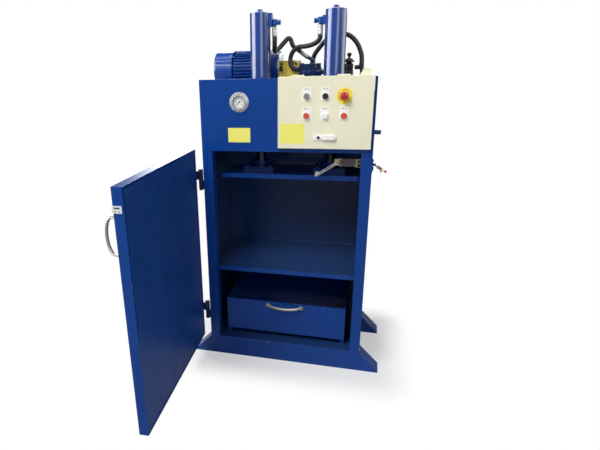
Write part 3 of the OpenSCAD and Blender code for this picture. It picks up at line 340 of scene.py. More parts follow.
def block(low, high, edge=0.0, segments=2):
    """A box between two corners with rounded edges."""
    part = bmesh.new()
    low, high = Vector(low), Vector(high)
    bmesh.ops.create_cube(part, size=1.0)
    bmesh.ops.scale(part, vec=high - low, verts=part.verts)
    bmesh.ops.translate(part, vec=(low + high) / 2, verts=part.verts)
    if edge:
        rounded(part, part.edges[:], edge, segments)
    return part


def stud(radius, height, sides=24, rim=0.0, hollow=0.0, sink=0.0):
    """A round or many-sided stud that rises from the origin, with a rounded rim and a sunk
    socket."""
    part = bmesh.new()
    bmesh.ops.create_cone(part, cap_ends=True, segments=sides, radius1=radius, radius2=radius,
                          depth=height, matrix=Matrix.Translation((0, 0, height / 2)))
    top = max(part.faces, key=lambda f: f.calc_center_median().z)
    if hollow:
        bmesh.ops.inset_individual(part, faces=[top], thickness=radius - hollow)
        bmesh.ops.inset_individual(part, faces=[top], thickness=hollow * 0.04, depth=-sink)
    if rim:
        rims = [e for e in part.edges
                if all(abs(v.co.z - height) < 1e-7 and v.co.xy.length > radius * 0.9
                       for v in e.verts)]
        rounded(part, rims, rim)
    return part


def turned(profile, steps):
    """A solid turned round +Z from pairs of radius and height."""
    part = bmesh.new()
    points = [part.verts.new((r, 0.0, z)) for r, z in profile]
    chain = [part.edges.new(pair) for pair in zip(points, points[1:])]
    bmesh.ops.spin(part, geom=points + chain, cent=(0, 0, 0), axis=UP, dvec=(0, 0, 0),
                   angle=2 * math.pi, steps=steps, use_merge=True, use_normal_flip=False,
                   use_duplicate=False)
    bmesh.ops.remove_doubles(part, verts=part.verts, dist=1e-7)
    return part


def cut_sheet(outline, thickness, edge=0.0):
    """A flat plate with an outline in X and Y that rises from Z = 0."""
    part = bmesh.new()
    base = part.faces.new([part.verts.new((x, y, 0.0)) for x, y in outline])
    top = bmesh.ops.extrude_face_region(part, geom=[base])
    moved = [v for v in top["geom"] if isinstance(v, bmesh.types.BMVert)]
    bmesh.ops.translate(part, vec=(0, 0, thickness), verts=moved)
    if edge:
        rounded(part, [e for e in part.edges if all(v in moved for v in e.verts)], edge)
    return part


def swept(stations, sides):
    """A closed bar through stations of point, direction, width and height."""
    part = bmesh.new()
    rings = []
    for point, direction, width, height in stations:
        # The section's width lies level and its height stands across it
        along = Vector(direction).normalized()
        level = along.cross(Vector(UP))
        level = level.normalized() if level.length > 1e-4 else Vector(RIGHT)
        rise = level.cross(along).normalized()
        turn = Matrix((level * width, rise * height, along)).transposed().to_4x4()
        made = bmesh.ops.create_circle(part, cap_ends=False, segments=sides, radius=1.0,
                                       matrix=Matrix.Translation(Vector(point)) @ turn)
        ring = made["verts"]
        rings.append([e for e in part.edges if e.verts[0] in ring and e.verts[1] in ring])
    for first, second in zip(rings, rings[1:]):
        bmesh.ops.bridge_loops(part, edges=first + second)
    bmesh.ops.holes_fill(part, edges=[e for e in part.edges if e.is_boundary], sides=0)
    return part


def bead(start, end, radius):
    """A weld bead: a bar whose overlapping ripples swell and narrow."""
    start, end = Vector(start), Vector(end)
    count = max(4, 2 * round((end - start).length / sizes().ripple))
    along = end - start
    tip, narrow, stray, pace = 0.45, 0.8, 0.12, 2.4
    stations = []
    for i in range(count + 1):
        swell = radius * (tip if i in (0, count) else 1.0 if i % 2 else narrow)
        wander = stray * radius * math.sin(i * pace)
        stations.append((start + along * i / count + Vector((wander, wander, wander)),
                         along, swell, swell))
    return swept(stations, 8)


def ring_bead(x, radius, z, steps):
    """A weld bead round an upright tube, with as many ripples as steps."""
    wide, narrow = 0.003, 0.82
    stations = []
    for i in range(steps + 1):
        turn = 2 * math.pi * i / steps
        swell = wide * (1.0 if i % 2 else narrow)
        stations.append(((x + radius * math.cos(turn), radius * math.sin(turn), z),
                         (-math.sin(turn), math.cos(turn), 0.0), swell, swell))
    return swept(stations, 8)


def beads(lines, radius):
    return [(bead(start, end, radius), None) for start, end in lines]


def studs(places, axis, size):
    return [(stud(*size), aimed(at, axis)) for at in places]


def countersunk(radius):
    """The size of a countersunk screw with a sunk socket, just proud of its face."""
    height, sides, rim, hollow, sink = 0.0016, 24, 0.0005, radius * 0.5, 0.0013
    return radius, height, sides, rim, hollow, sink


def bow_handle(chord, out, tall, thick, pad, slack):
    """The parts of a bow handle over a chord along X that bulges to -Y from two pads; less
    slack is squarer."""
    half, bar_sides, pad_sides, pad_edge = 18, 20, 24, 0.0012
    start, inset, thinner, taller = 0.002, 0.006, 0.25, 0.22
    bar = []
    for i in range(2 * half + 1):
        t = -1 + i / half
        lift = math.cos(min(1.0, abs(t)) * math.pi / 2) ** slack
        ends = abs(t) ** 6
        at = Vector((t * (chord / 2 - inset), -(start + lift * (out - start - thick)), 0.0))
        bar.append([at, None, thick * (1 - thinner * ends), tall * (1 + taller * ends)])
    for i, station in enumerate(bar):
        station[1] = bar[min(i + 1, 2 * half)][0] - bar[max(i - 1, 0)][0]
    bar[0][1], bar[-1][1] = Vector((0.2, -1, 0)), Vector((0.2, 1, 0))
    parts = [(swept(bar, bar_sides), None)]
    for side in SIDES:
        outline = []
        for i in range(pad_sides):
            level, rise = spoke(360 * i / pad_sides)
            outline.append((side * (chord / 2 - start) + (pad + start) * level,
                            pad * 0.92 * rise))
        parts.append((cut_sheet(outline, PAD_DEEP, pad_edge), aimed((0, 0, 0), FRONT)))
    return parts


# ---- Pieces ----

def piece(name, bm, surfaces, body, angle=38.0, nodes=()):
    """Makes a bmesh into a smooth-shaded piece that rides on a body and may stand for CAD
    nodes."""
    mesh = bpy.data.meshes.new(name)
    bm.to_mesh(mesh)
    bm.free()
    for surface in surfaces:
        mesh.materials.append(finish(surface))
    mesh.polygons.foreach_set("use_smooth", [True] * len(mesh.polygons))
    mesh.set_sharp_from_angle(angle=math.radians(angle))
    made = bpy.data.objects.new(name, mesh)
    bpy.context.scene.collection.objects.link(made)
    normals = made.modifiers.new("Even shading", "WEIGHTED_NORMAL")
    normals.keep_sharp = True
    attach(made, body)
    if nodes:
        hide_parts(*nodes)
    return made


def built(name, parts, surface, body="cabinet", place=None, angle=38.0, nodes=()):
    """A piece of closed parts, each with its own place or none, put at a common place."""
    bm = bmesh.new()
    for part, at in parts:
        bmesh.ops.remove_doubles(part, verts=part.verts, dist=1e-6)
        bmesh.ops.recalc_face_normals(part, faces=part.faces)
        if at is not None:
            part.transform(at)
        carrier = bpy.data.meshes.new("part")
        part.to_mesh(carrier)
        part.free()
        bm.from_mesh(carrier)
        bpy.data.meshes.remove(carrier)
    if place is not None:
        bm.transform(place)
    return piece(name, bm, [surface], body, angle, nodes)


def dressed(node, surface, width=None, segments=2, paint=()):
    """A piece with a CAD node's shape and rounded edges, which are marked so that the finish can
    wear there and take a painted edge highlight. paint holds pairs of a test on a face's middle
    and a further finish."""
    source = frame["nodes"][node]
    bm = bmesh.new()
    bm.from_mesh(source.data)
    for face in bm.faces:
        face.material_index = 0
    bmesh.ops.remove_doubles(bm, verts=bm.verts, dist=JOINED)
    bmesh.ops.dissolve_limit(bm, angle_limit=FLAT, use_dissolve_boundaries=False,
                             verts=bm.verts, edges=bm.edges, delimit=set())
    for index, (test, _) in enumerate(paint, 1):
        for face in bm.faces:
            if test(face.calc_center_median()):
                face.material_index = index
    keen = [e for e in bm.edges
            if len(e.link_faces) == 2 and e.calc_face_angle(0.0) > KEEN]
    made = rounded(bm, keen, sizes().edge if width is None else width, segments)
    layer = bm.loops.layers.float.get("edge") or bm.loops.layers.float.new("edge")
    for face in made["faces"]:
        for loop in face.loops:
            loop[layer] = 1.0
    return piece(node.replace("_", " ").title().replace(" ", ""), bm,
                 [surface] + [further for _, further in paint], source["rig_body"],
                 nodes=[node])


def dress(*rows):
    """Dresses nodes, each row with a node, a finish, a rounding and perhaps its segments."""
    for row in rows:
        dressed(*row)


def middle(node):
    low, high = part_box(node)
    return (low + high) / 2


def door_turn():
    """Takes what is modelled on the closed door to the door at rest."""
    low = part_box("lower_hinges")[0]
    hinge = Vector((low.x + sizes().knuckle, low.y + sizes().knuckle, 0.0))
    return (Matrix.Translation(hinge) @ Matrix.Rotation(-sizes().door_open, 4, "Z")
            @ Matrix.Translation(-hinge))


def closed_box(node):
    """The lowest and highest corners of a node of the door while the door is closed."""
    back = door_turn().inverted()
    places = [back @ v.co for v in frame["nodes"][node].data.vertices]
    return (Vector([min(p[i] for p in places) for i in range(3)]),
            Vector([max(p[i] for p in places) for i in range(3)]))


# ---- Cabinet, press and drawer ----

class CRUSHER_OT_cabinet(bpy.types.Operator):
    """Finishes the cabinet's welded steelwork and lays its weld beads"""
    bl_idname = "crusher.cabinet"
    bl_label = "Cabinet"

    def execute(self, context):
        low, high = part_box("side_walls")
        floor_low, floor_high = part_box("floor_plate")
        wall_low, wall_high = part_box("back_wall")
        shelf_low, shelf_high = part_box("crush_shelf")
        deck_low, deck_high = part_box("deck_plate")
        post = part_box("door_frame")[1].y
        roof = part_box("roof_plate")[0].z
        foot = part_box("feet")[1].z

        sheet, slight = 0.0015, 0.001

        def inside(at):
            """Whether a face's middle lies behind the door frame, between the sheets'
            outsides."""
            return (abs(at.x) < high.x - sheet and post + slight < at.y < wall_high.y - sheet
                    and floor_low.z + slight / 2 < at.z < roof + slight)

        chamber = ("floor_plate", "side_walls", "back_wall", "roof_plate", "crush_shelf")
        for node in ("feet", "floor_plate", "side_walls", "back_wall", "door_frame",
                     "front_panel", "roof_plate", "deck_plate", "crush_shelf", "drawer_runners"):
            # The chamber's inner faces get a darker, greyer copy of the cabinet enamel: painted
            # shade
            dressed(node, "cabinet enamel",
                    paint=[(inside, "chamber enamel")] if node in chamber else ())
        radius, foot_deep = sizes().bead, 0.085
        tuck, inner, back = 0.3 * radius, shelf_high.x, wall_low.y
        levels = (shelf_high.z + tuck, shelf_low.z - tuck)
        lines = []
        for side in SIDES:
            # Round the shelf, up the chamber's back corners, and over the feet
            x, outer = side * (inner - tuck), side * (high.x + 0.2 * radius)
            lines += [((x, post, z), (x, back, z)) for z in levels]
            lines += [((x, back, floor_high.z), (x, back, shelf_low.z)),
                      ((x, back, shelf_high.z), (x, back, roof)),
                      ((outer, low.y, foot), (outer, post, foot)),
                      ((outer, wall_high.y - foot_deep, foot), (outer, wall_high.y - 0.002, foot))]
        lines += [((-inner, back - tuck, z), (inner, back - tuck, z)) for z in levels]
        # Behind the front panel, along the deck
        y, z = deck_low.y + tuck, deck_high.z + tuck
        lines.append(((-inner, y, z), (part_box("box_case")[0].x - 0.004, y, z)))
        # Down the back's two edges
        x, y = high.x - 0.4 * radius, wall_high.y - 0.4 * radius
        edges = [((side * x, y, foot + 0.02), (side * x, y, wall_high.z - 0.01))
                 for side in SIDES]
        built("CabinetSeams", beads(lines, radius) + beads(edges, 0.6 * radius),
              "cabinet enamel")
        return {"FINISHED"}


class CRUSHER_OT_press(bpy.types.Operator):
    """Finishes the two cylinders, their chromed rods and the platen"""
    bl_idname = "crusher.press"
    bl_label = "Press"

    def execute(self, context):
        # The piston rods' chrome is darkened: painted shade of the dark chamber they reflect
        dress(("barrels", "cylinder enamel", 0.0008), ("platen", "cabinet enamel", 0.0012),
              ("rod_flanges", "cabinet enamel", 0.0008), ("piston_rods", "oiled chrome", 0.0005))
        low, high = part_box("barrels")
        foot, foot_rim, hub, hub_tall = (high.y - low.y) / 2, 0.0255, 0.0455, 0.027
        deck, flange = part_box("deck_plate")[1].z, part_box("rod_flanges")[1].z
        for name, body, radius, z, steps in (
                ("CylinderSeams", "cabinet", foot - foot_rim, deck + 0.001, 96),
                ("FlangeSeams", "platen", hub, flange - hub_tall, 72)):
            built(name, [(ring_bead(x, radius, z, steps), None)
                         for x in (low.x + foot, high.x - foot)], "cabinet enamel", body)
        return {"FINISHED"}


class CRUSHER_OT_drawer(bpy.types.Operator):
    """Finishes the drip drawer and makes its bow handle"""
    bl_idname = "crusher.drawer"
    bl_label = "Drawer"

    def execute(self, context):
        dressed("drawer_tray", "cabinet enamel", 0.0007)
        low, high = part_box("drawer_handle")
        tray_low, tray_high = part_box("drawer_tray")
        face, z, inset = tray_low.y, (low.z + high.z) / 2, 0.0032
        tall, thick, pad, slack = 0.0075, 0.0055, 0.012, 0.62
        chord = high.x - low.x - 2 * pad
        built("DrawerHandle", bow_handle(chord, face - low.y, tall, thick, pad, slack),
              "handle metal", "drawer", Matrix.Translation((0, face, z)),
              nodes=["drawer_handle"])
        places = [(side * (chord / 2 + PAD_DEEP), face - PAD_DEEP, z) for side in SIDES]
        built("DrawerScrews", studs(places, FRONT, countersunk(0.0042)), "black oxide", "drawer")
        corners = [(side * (tray_high.x - inset), y) for side in SIDES
                   for y in (face + inset, tray_high.y - inset)]
        built("DrawerSeams", beads([((x, y, tray_low.z + 0.004), (x, y, tray_high.z - 0.002))
                                    for x, y in corners], 0.0016), "cabinet enamel", "drawer")
        return {"FINISHED"}


class CRUSHER_OT_door(bpy.types.Operator):
    """Finishes the door, its hinges, its bow handle and its catch"""
    bl_idname = "crusher.door"
    bl_label = "Door"

    def execute(self, context):
        # The door's inner sheet gets a lighter copy of the cabinet enamel: painted light
        dress(("door_pan", "cabinet enamel", 0.0009), ("door_liner", "door inner enamel", 0.0004),
              ("lower_hinges", "valve enamel", 0.0006), ("upper_hinges", "valve enamel", 0.0006),
              # The catch's near-white finish is a painted reflection of its chrome
              ("door_catch", "catch plating", 0.0005))
        turn = door_turn()
        (left, face, bottom), (right, inside, top) = closed_box("door_pan")
        low, high = closed_box("door_handle")
        # The bow stands out and up from the CAD's plain one
        further, higher, tall, thick, pad, slack = 0.013, 0.007, 0.0072, 0.0062, 0.011, 0.24
        chord, out = high.z - low.z - 2 * pad, face - low.y + further
        centre = Vector(((low.x + high.x) / 2, face, (low.z + high.z) / 2 + higher))
        upright = turn @ Matrix.Translation(centre) @ Matrix.Rotation(math.radians(90), 4, "Y")
        built("DoorHandle", bow_handle(chord, out, tall, thick, pad, slack), "handle metal",
              "door", upright, nodes=["door_handle"])
        places = [(side * (chord / 2 + PAD_DEEP), -PAD_DEEP, 0) for side in SIDES]
        built("DoorHandleScrews", studs(places, FRONT, countersunk(0.004)), "pale zinc plating",
              "door", upright)
        catch = middle("door_catch").z
        places = [(right + 0.0024, face + y, catch - 0.007) for y in (0.008, 0.026)]
        built("CatchScrews", studs(places, RIGHT, countersunk(0.003)), "pale zinc plating",
              "door", turn)
        # A thin black sheet on the catch's face is painted shade that stands in for the catch's
        # recess
        recess_shade = block((right + 0.0002, face + 0.005, catch + 0.001),
                       (right + 0.0008, face + 0.029, catch + 0.010))
        built("CatchRecess", [(recess_shade, None)], "printed black", "door", turn)
        # Mitre welds in the lip's corners, and the hinge arms' welds on the door's edge
        lip, start, y = 0.012, 0.002, inside - 0.0002
        mitres = [((x + dx * start, y, z + dz * start), (x + dx * lip, y, z + dz * lip))
                  for x, dx in ((left, 1), (right, -1)) for z, dz in ((bottom, 1), (top, -1))]
        low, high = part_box("upper_hinges")
        x, arm_tall = left - 0.0006, 0.0568
        arms = [((x, inside - 0.036, z), (x, inside - 0.003, z))
                for base in (low.z, high.z - arm_tall) for z in (base + 0.002, base + 0.0488)]
        built("DoorSeams", beads(mitres, 0.0011) + beads(arms, 0.0016), "cabinet enamel", "door",
              turn)
        low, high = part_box("lower_hinges")
        x, y, leaf_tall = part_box("door_frame")[0].x - 0.001, middle("lower_hinges").y, 0.102
        leaves = [((x, y - 0.006, z), (x, y + 0.006, z)) for base in (low.z, high.z - leaf_tall)
                  for z in (base + 0.008, base + 0.0548)]
        built("HingeSeams", beads(leaves, 0.0018), "cabinet enamel")
        return {"FINISHED"}


# ---- Power pack ----

# Heads of fasteners: radius, height, sides, rounding, and a socket's radius and depth
LID_SCREW = (0.0036, 0.0026, 24, 0.0008, 0.0018, 0.0014)
COWL_SCREW = (0.0045, 0.003, 24, 0.001, 0.0022, 0.0018)
FLANGE_BOLT = (0.0052, 0.009, 6, 0.0007)
PUMP_SCREW = (0.0065, 0.007, 28, 0.0008, 0.0034, 0.004)
VALVE_SCREW = (0.0042, 0.005, 24, 0.0006, 0.0022, 0.003)
GAUGE_SCREW = (0.0032, 0.0022, 24, 0.0007, 0.0015, 0.0012)
SWITCH_SCREW = (0.0034, 0.0024, 24, 0.0006, 0.0014, 0.0012)
SWITCH_RING = (0.0052, 0.0016, 24, 0.0004, 0.0028, 0.0014)
SMALL_NUT = (0.0055, 0.004, 6, 0.0006)
COCK_NUT = (0.0095, 0.014, 6, 0.001)
COCK_STEM = (0.0060, 0.018, 28, 0.001)
COCK_SPOUT = (0.0045, 0.016, 28, 0.001)
LATCH_BOLT = (0.0021, 0.020, 16)
LATCH_BAR = (0.0019, 0.015, 16)
BLANKING_PLUG = (0.011, 0.005, 24, 0.001, 0.004, 0.003)
# Turned parts: pairs of radius and height
FLANGE_RING = [(0.0895, 0.0), (0.099, 0.0), (0.100, 0.001), (0.100, 0.009), (0.099, 0.010),
               (0.0895, 0.010), (0.0895, 0.0)]
CABLE_GLAND = [(0.0, 0.0), (0.013, 0.0), (0.013, 0.006), (0.010, 0.007), (0.0115, 0.009),
               (0.0115, 0.016), (0.009, 0.021), (0.0055, 0.022), (0.0055, 0.014), (0.0, 0.014)]
LOCK_BARREL = [(0.0, 0.0), (0.0072, 0.0), (0.0072, 0.0008), (0.0064, 0.0012), (0.0, 0.0012)]


class CRUSHER_OT_motor(bpy.types.Operator):
    """Finishes the motor, its fan and cowl, and fits its terminal box"""
    bl_idname = "crusher.motor"
    bl_label = "Motor"

    def execute(self, context):
        dress(("motor_frame", "motor enamel", 0.0005, 1), ("fan_cowl", "cowl enamel", 0.0006),
              ("motor_fan", "black plastic", 0.0004, 1),
              ("pump_adaptor", "cast aluminium", 0.001))
        low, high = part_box("motor_frame")
        bell, cowl_out, bolt_circle = 0.078, 0.0996, 0.0945
        axis, shaft, end, lid = (low.y + high.y) / 2, middle("fan_cowl").z, high.x - bell, high.z
        # Terminal box: a gasket under the lid, screws, a gland and a blanking plug
        gasket = block((end - 0.0765, axis - 0.0415, lid - 0.0065),
                       (end + 0.0165, axis + 0.0415, lid - 0.0045), 0.0003, 1)
        built("BoxGasket", [(gasket, None)], "black plastic")
        places = [(x, y, lid - 0.0002) for x in (end - 0.071, end + 0.011)
                  for y in (axis - 0.036, axis + 0.036)]
        steel = studs(places, UP, LID_SCREW)
        cowl = Vector((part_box("fan_cowl")[1].x - 0.010, axis, shaft))
        for i in range(4):
            out = Vector((0, *spoke(45 + 90 * i)))
            steel += studs([cowl + out * cowl_out], out, COWL_SCREW)
        flange = Vector((end + 0.026, axis, shaft))
        steel += studs([flange + Vector((0, *spoke(22.5 + 45 * i, bolt_circle)))
                        for i in range(8)], RIGHT, FLANGE_BOLT)
        built("MotorFasteners", steel, "pale zinc plating")
        built("FlangeRing", [(turned(FLANGE_RING, 64), aimed((end + 0.020, axis, shaft), RIGHT))],
              "motor enamel")
        y, z = axis - 0.0395, lid - 0.024
        built("CableGland", [(turned(CABLE_GLAND, 24), aimed((end - 0.030, y, z), FRONT)),
                             *studs([(end - 0.058, y, z)], FRONT, BLANKING_PLUG)],
              "black plastic")
        return {"FINISHED"}


class CRUSHER_OT_pump(bpy.types.Operator):
    """Finishes the pump, the valve block, its coil and the tank's fittings"""
    bl_idname = "crusher.pump"
    bl_label = "Pump and Valves"

    def execute(self, context):
        low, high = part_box("pump_block")
        valve_low, valve_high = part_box("valve_block")
        coil_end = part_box("valve_coil")[1].x - 0.0125
        dress(("pump_block", "pump casting enamel", 0.0015, 2,
               [(lambda at: at.y < low.y + 0.0039, "black oxide")]),
              ("valve_block", "valve enamel", 0.0009),
              ("valve_coil", "valve enamel", 0.001, 2,
               [(lambda at: at.x > coil_end, "black oxide")]),
              ("tank_fittings", "black oxide", 0.0008))
        front = low.y + 0.004
        # Socket screws, the caps of the valves, the seams between the pump's plates and its plug
        pump = [(x, front, high.z - 0.016) for x in (low.x + 0.014, high.x - 0.014)]
        valve = [(x, y, valve_high.z) for x in (valve_low.x + 0.010, valve_high.x - 0.010)
                 for y in (valve_low.y + 0.019, valve_high.y - 0.010)]
        built("PumpScrews", studs(pump, FRONT, PUMP_SCREW) + studs(valve, UP, VALVE_SCREW),
              "black oxide")
        # The valves' caps take the lighter, glossier cowl enamel rather than the valve block's
        # navy: a painted highlight
        lit_caps = []
        for x, drop, radius in ((0.024, 0.042, 0.0095), (0.050, 0.042, 0.0095),
                                (0.037, 0.080, 0.008)):
            lit_caps += studs([(valve_low.x + x, valve_low.y + 0.001, valve_high.z - drop)], FRONT,
                          (radius, 0.004, 28, 0.0012, radius * 0.42, 0.003))
        built("ValveCaps", lit_caps, "cowl enamel")
        proud = 0.0002
        built("PumpJoints", [(block((x, front - proud, low.z),
                                    (x + 0.0012, high.y + proud, high.z + proud)), None)
                             for x in (low.x + 0.036, low.x + 0.074)], "black oxide")
        built("PumpPlug", studs([(high.x - 0.022, front, high.z - 0.030)], FRONT, SMALL_NUT),
              "polished chrome")
        # A dark cock low on the pump's left, beside the motor's bell: a nut, a stem and a spout
        x, foot = low.x + 0.012, high.z - 0.043
        built("PumpCock", [
            *studs([(x, front + 0.0005, foot)], FRONT, COCK_NUT),
            *studs([(x, front - 0.006, foot)], UP, COCK_STEM),
            *studs([(x, front - 0.013, foot)], FRONT, COCK_SPOUT)], "black oxide")
        return {"FINISHED"}


# Middle lines of the three hoses, in millimetres, from end to end
LEFT_ROUTE = [
    (-95, 0, 1744), (-95, 0, 1724), (-98, 14, 1693), (-102, 36, 1677), (-96, 58, 1679),
    (-80, 77, 1697), (-61, 88, 1719), (-41, 96, 1739), (-28, 100, 1731), (-20, 104, 1708),
    (-8, 109, 1692),
]
RIGHT_ROUTE = [
    (135, 0, 1744), (135, 0, 1732), (128, 6, 1718), (108, 17, 1705), (82, 32, 1698),
    (50, 51, 1694), (17, 66, 1692), (-11, 77, 1674), (-25, 83, 1646), (-26, 85, 1616),
    (-15, 86, 1593), (-2, 86, 1586), (10, 86, 1586),
]
RETURN_ROUTE = [
    (86, 151, 1620), (86, 151, 1636), (95, 143, 1658), (117, 132, 1686), (148, 121, 1718),
    (191, 112, 1745), (236, 108, 1751), (277, 108, 1738), (313, 110, 1702), (335, 112, 1654),
    (340, 113, 1622), (340, 113, 1604),
]


def route_end():
    """The last two points of the left hose, where it enters the slanting elbow's sleeve."""
    toward, arm, length = Vector((7, 0, -5)).normalized(), 72, 20
    sleeve = Vector((85, 112, 1628)) - arm * toward
    return [tuple(sleeve - length * toward), tuple(sleeve - 0.02 * toward)]


def flowing(points):
    """Points of a smooth curve through a route, with further points between its own."""
    steps = 3
    points = [Vector(p) / 1000 for p in points]
    ends = [2 * points[0] - points[1]] + points + [2 * points[-1] - points[-2]]
    line = []
    for i in range(1, len(ends) - 2):
        a, b, c, d = ends[i - 1:i + 3]
        for k in range(steps):
            t = k / steps
            line.append(0.5 * ((2 * b) + (c - a) * t + (2 * a - 5 * b + 4 * c - d) * t * t
                               + (3 * b - a - 3 * c + d) * t ** 3))
    return line + [points[-1]]


class CRUSHER_OT_hoses(bpy.types.Operator):
    """Lays the three hydraulic hoses and finishes their sleeves and ports"""
    bl_idname = "crusher.hoses"
    bl_label = "Hoses"

    def execute(self, context):
        rubber = wrapped(finish("hose rubber"))
        for name, node, route in (("LeftHose", "left_hose", LEFT_ROUTE + route_end()),
                                  ("RightHose", "right_hose", RIGHT_ROUTE),
                                  ("ReturnHose", "return_hose", RETURN_ROUTE)):
            line = flowing(route)
            curve = bpy.data.curves.new(name, "CURVE")
            curve.dimensions = "3D"
            curve.bevel_depth = sizes().hose
            curve.bevel_resolution = 6
            curve.use_fill_caps = True
            spline = curve.splines.new("POLY")
            spline.points.add(len(line) - 1)
            for point, at in zip(spline.points, line):
                point.co = (*at, 1.0)
            spline.use_smooth = True
            curve.materials.append(rubber)
            made = bpy.data.objects.new(name, curve)
            bpy.context.scene.collection.objects.link(made)
            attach(made, "cabinet")
            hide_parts(node)
        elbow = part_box("valve_block")[1].z + 0.06
        dress(("hose_ferrules", "pale zinc plating", 0.0005),
              ("port_fittings", "motor enamel", 0.0012, 2,
               [(lambda at: at.z < elbow, "valve enamel")]))
        return {"FINISHED"}


# ---- Gauge and control box ----

def figure(text, height, thickness):
    """A number as a thin mesh, centred on the origin."""
    curve = bpy.data.curves.new("figure", "FONT")
    curve.body = text
    curve.size = height
    curve.align_x = "CENTER"
    curve.align_y = "CENTER"
    curve.extrude = thickness
    holder = bpy.data.objects.new("figure", curve)
    bpy.context.scene.collection.objects.link(holder)
    flat = bpy.data.meshes.new_from_object(
        holder.evaluated_get(bpy.context.evaluated_depsgraph_get()))
    part = bmesh.new()
    part.from_mesh(flat)
    bpy.data.objects.remove(holder)
    bpy.data.curves.remove(curve)
    bpy.data.meshes.remove(flat)
    return part


class CRUSHER_OT_gauge(bpy.types.Operator):
    """Finishes the pressure gauge and marks its dial"""
    bl_idname = "crusher.gauge"
    bl_label = "Pressure Gauge"

    def execute(self, context):
        dress(("gauge_case", "satin chrome", sizes().fine_edge),
              ("gauge_dial", "dial face", 0.0002, 1), ("gauge_needle", "printed black", 0.0001, 1),
              ("gauge_glass", "gauge glass", 0.0003))
        low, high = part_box("gauge_dial")
        centre = Vector(((low.x + high.x) / 2, low.y, (low.z + high.z) / 2))
        radius = (high.x - low.x) / 2
        stood = Matrix.Translation(centre) @ UPRIGHT
        # A scale of 270 degrees with fifty steps, of which every tenth has a long mark
        start, sweep, steps, tenth = 225, 270, 50, 10
        marks = []
        for i in range(steps + 1):
            length, wide = ((sizes().tick, 0.0008) if i % tenth == 0
                            else (sizes().tick * 0.55, 0.0004))
            turn = Matrix.Rotation(math.radians(start - sweep * i / steps), 4, "Z")
            marks.append((block((0, -wide / 2, 0), (length, wide / 2, 0.00015)),
                          stood @ turn @ Matrix.Translation((radius - 0.004 - length, 0, 0))))
        for i in range(0, steps + 1, tenth):
            at = (*spoke(start - sweep * i / steps, radius - 0.0135), 0)
            marks.append((figure(str(i * 5), 0.0062, 0.0001), stood @ Matrix.Translation(at)))
        built("DialMarks", marks, "printed black", angle=20.0)
        inner, outer, deep = radius - 0.0022, radius - 0.0002, 0.0075
        ring = turned([(inner, 0.0), (outer, 0.0), (outer, deep), (inner, deep), (inner, 0.0)], 64)
        built("DialRing", [(ring, aimed(centre, FRONT))], "black plastic")
        case_low, case_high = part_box("gauge_case")
        edge, face = (case_high.x - case_low.x) / 2 - 0.005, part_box("front_panel")[0].y - 0.0025
        places = []
        for i in range(3):
            across, rise = spoke(90 + 120 * i, edge)
            places.append((centre.x + across, face, centre.z + rise))
        built("GaugeScrews", studs(places, FRONT, GAUGE_SCREW), "pale zinc plating")
        return {"FINISHED"}


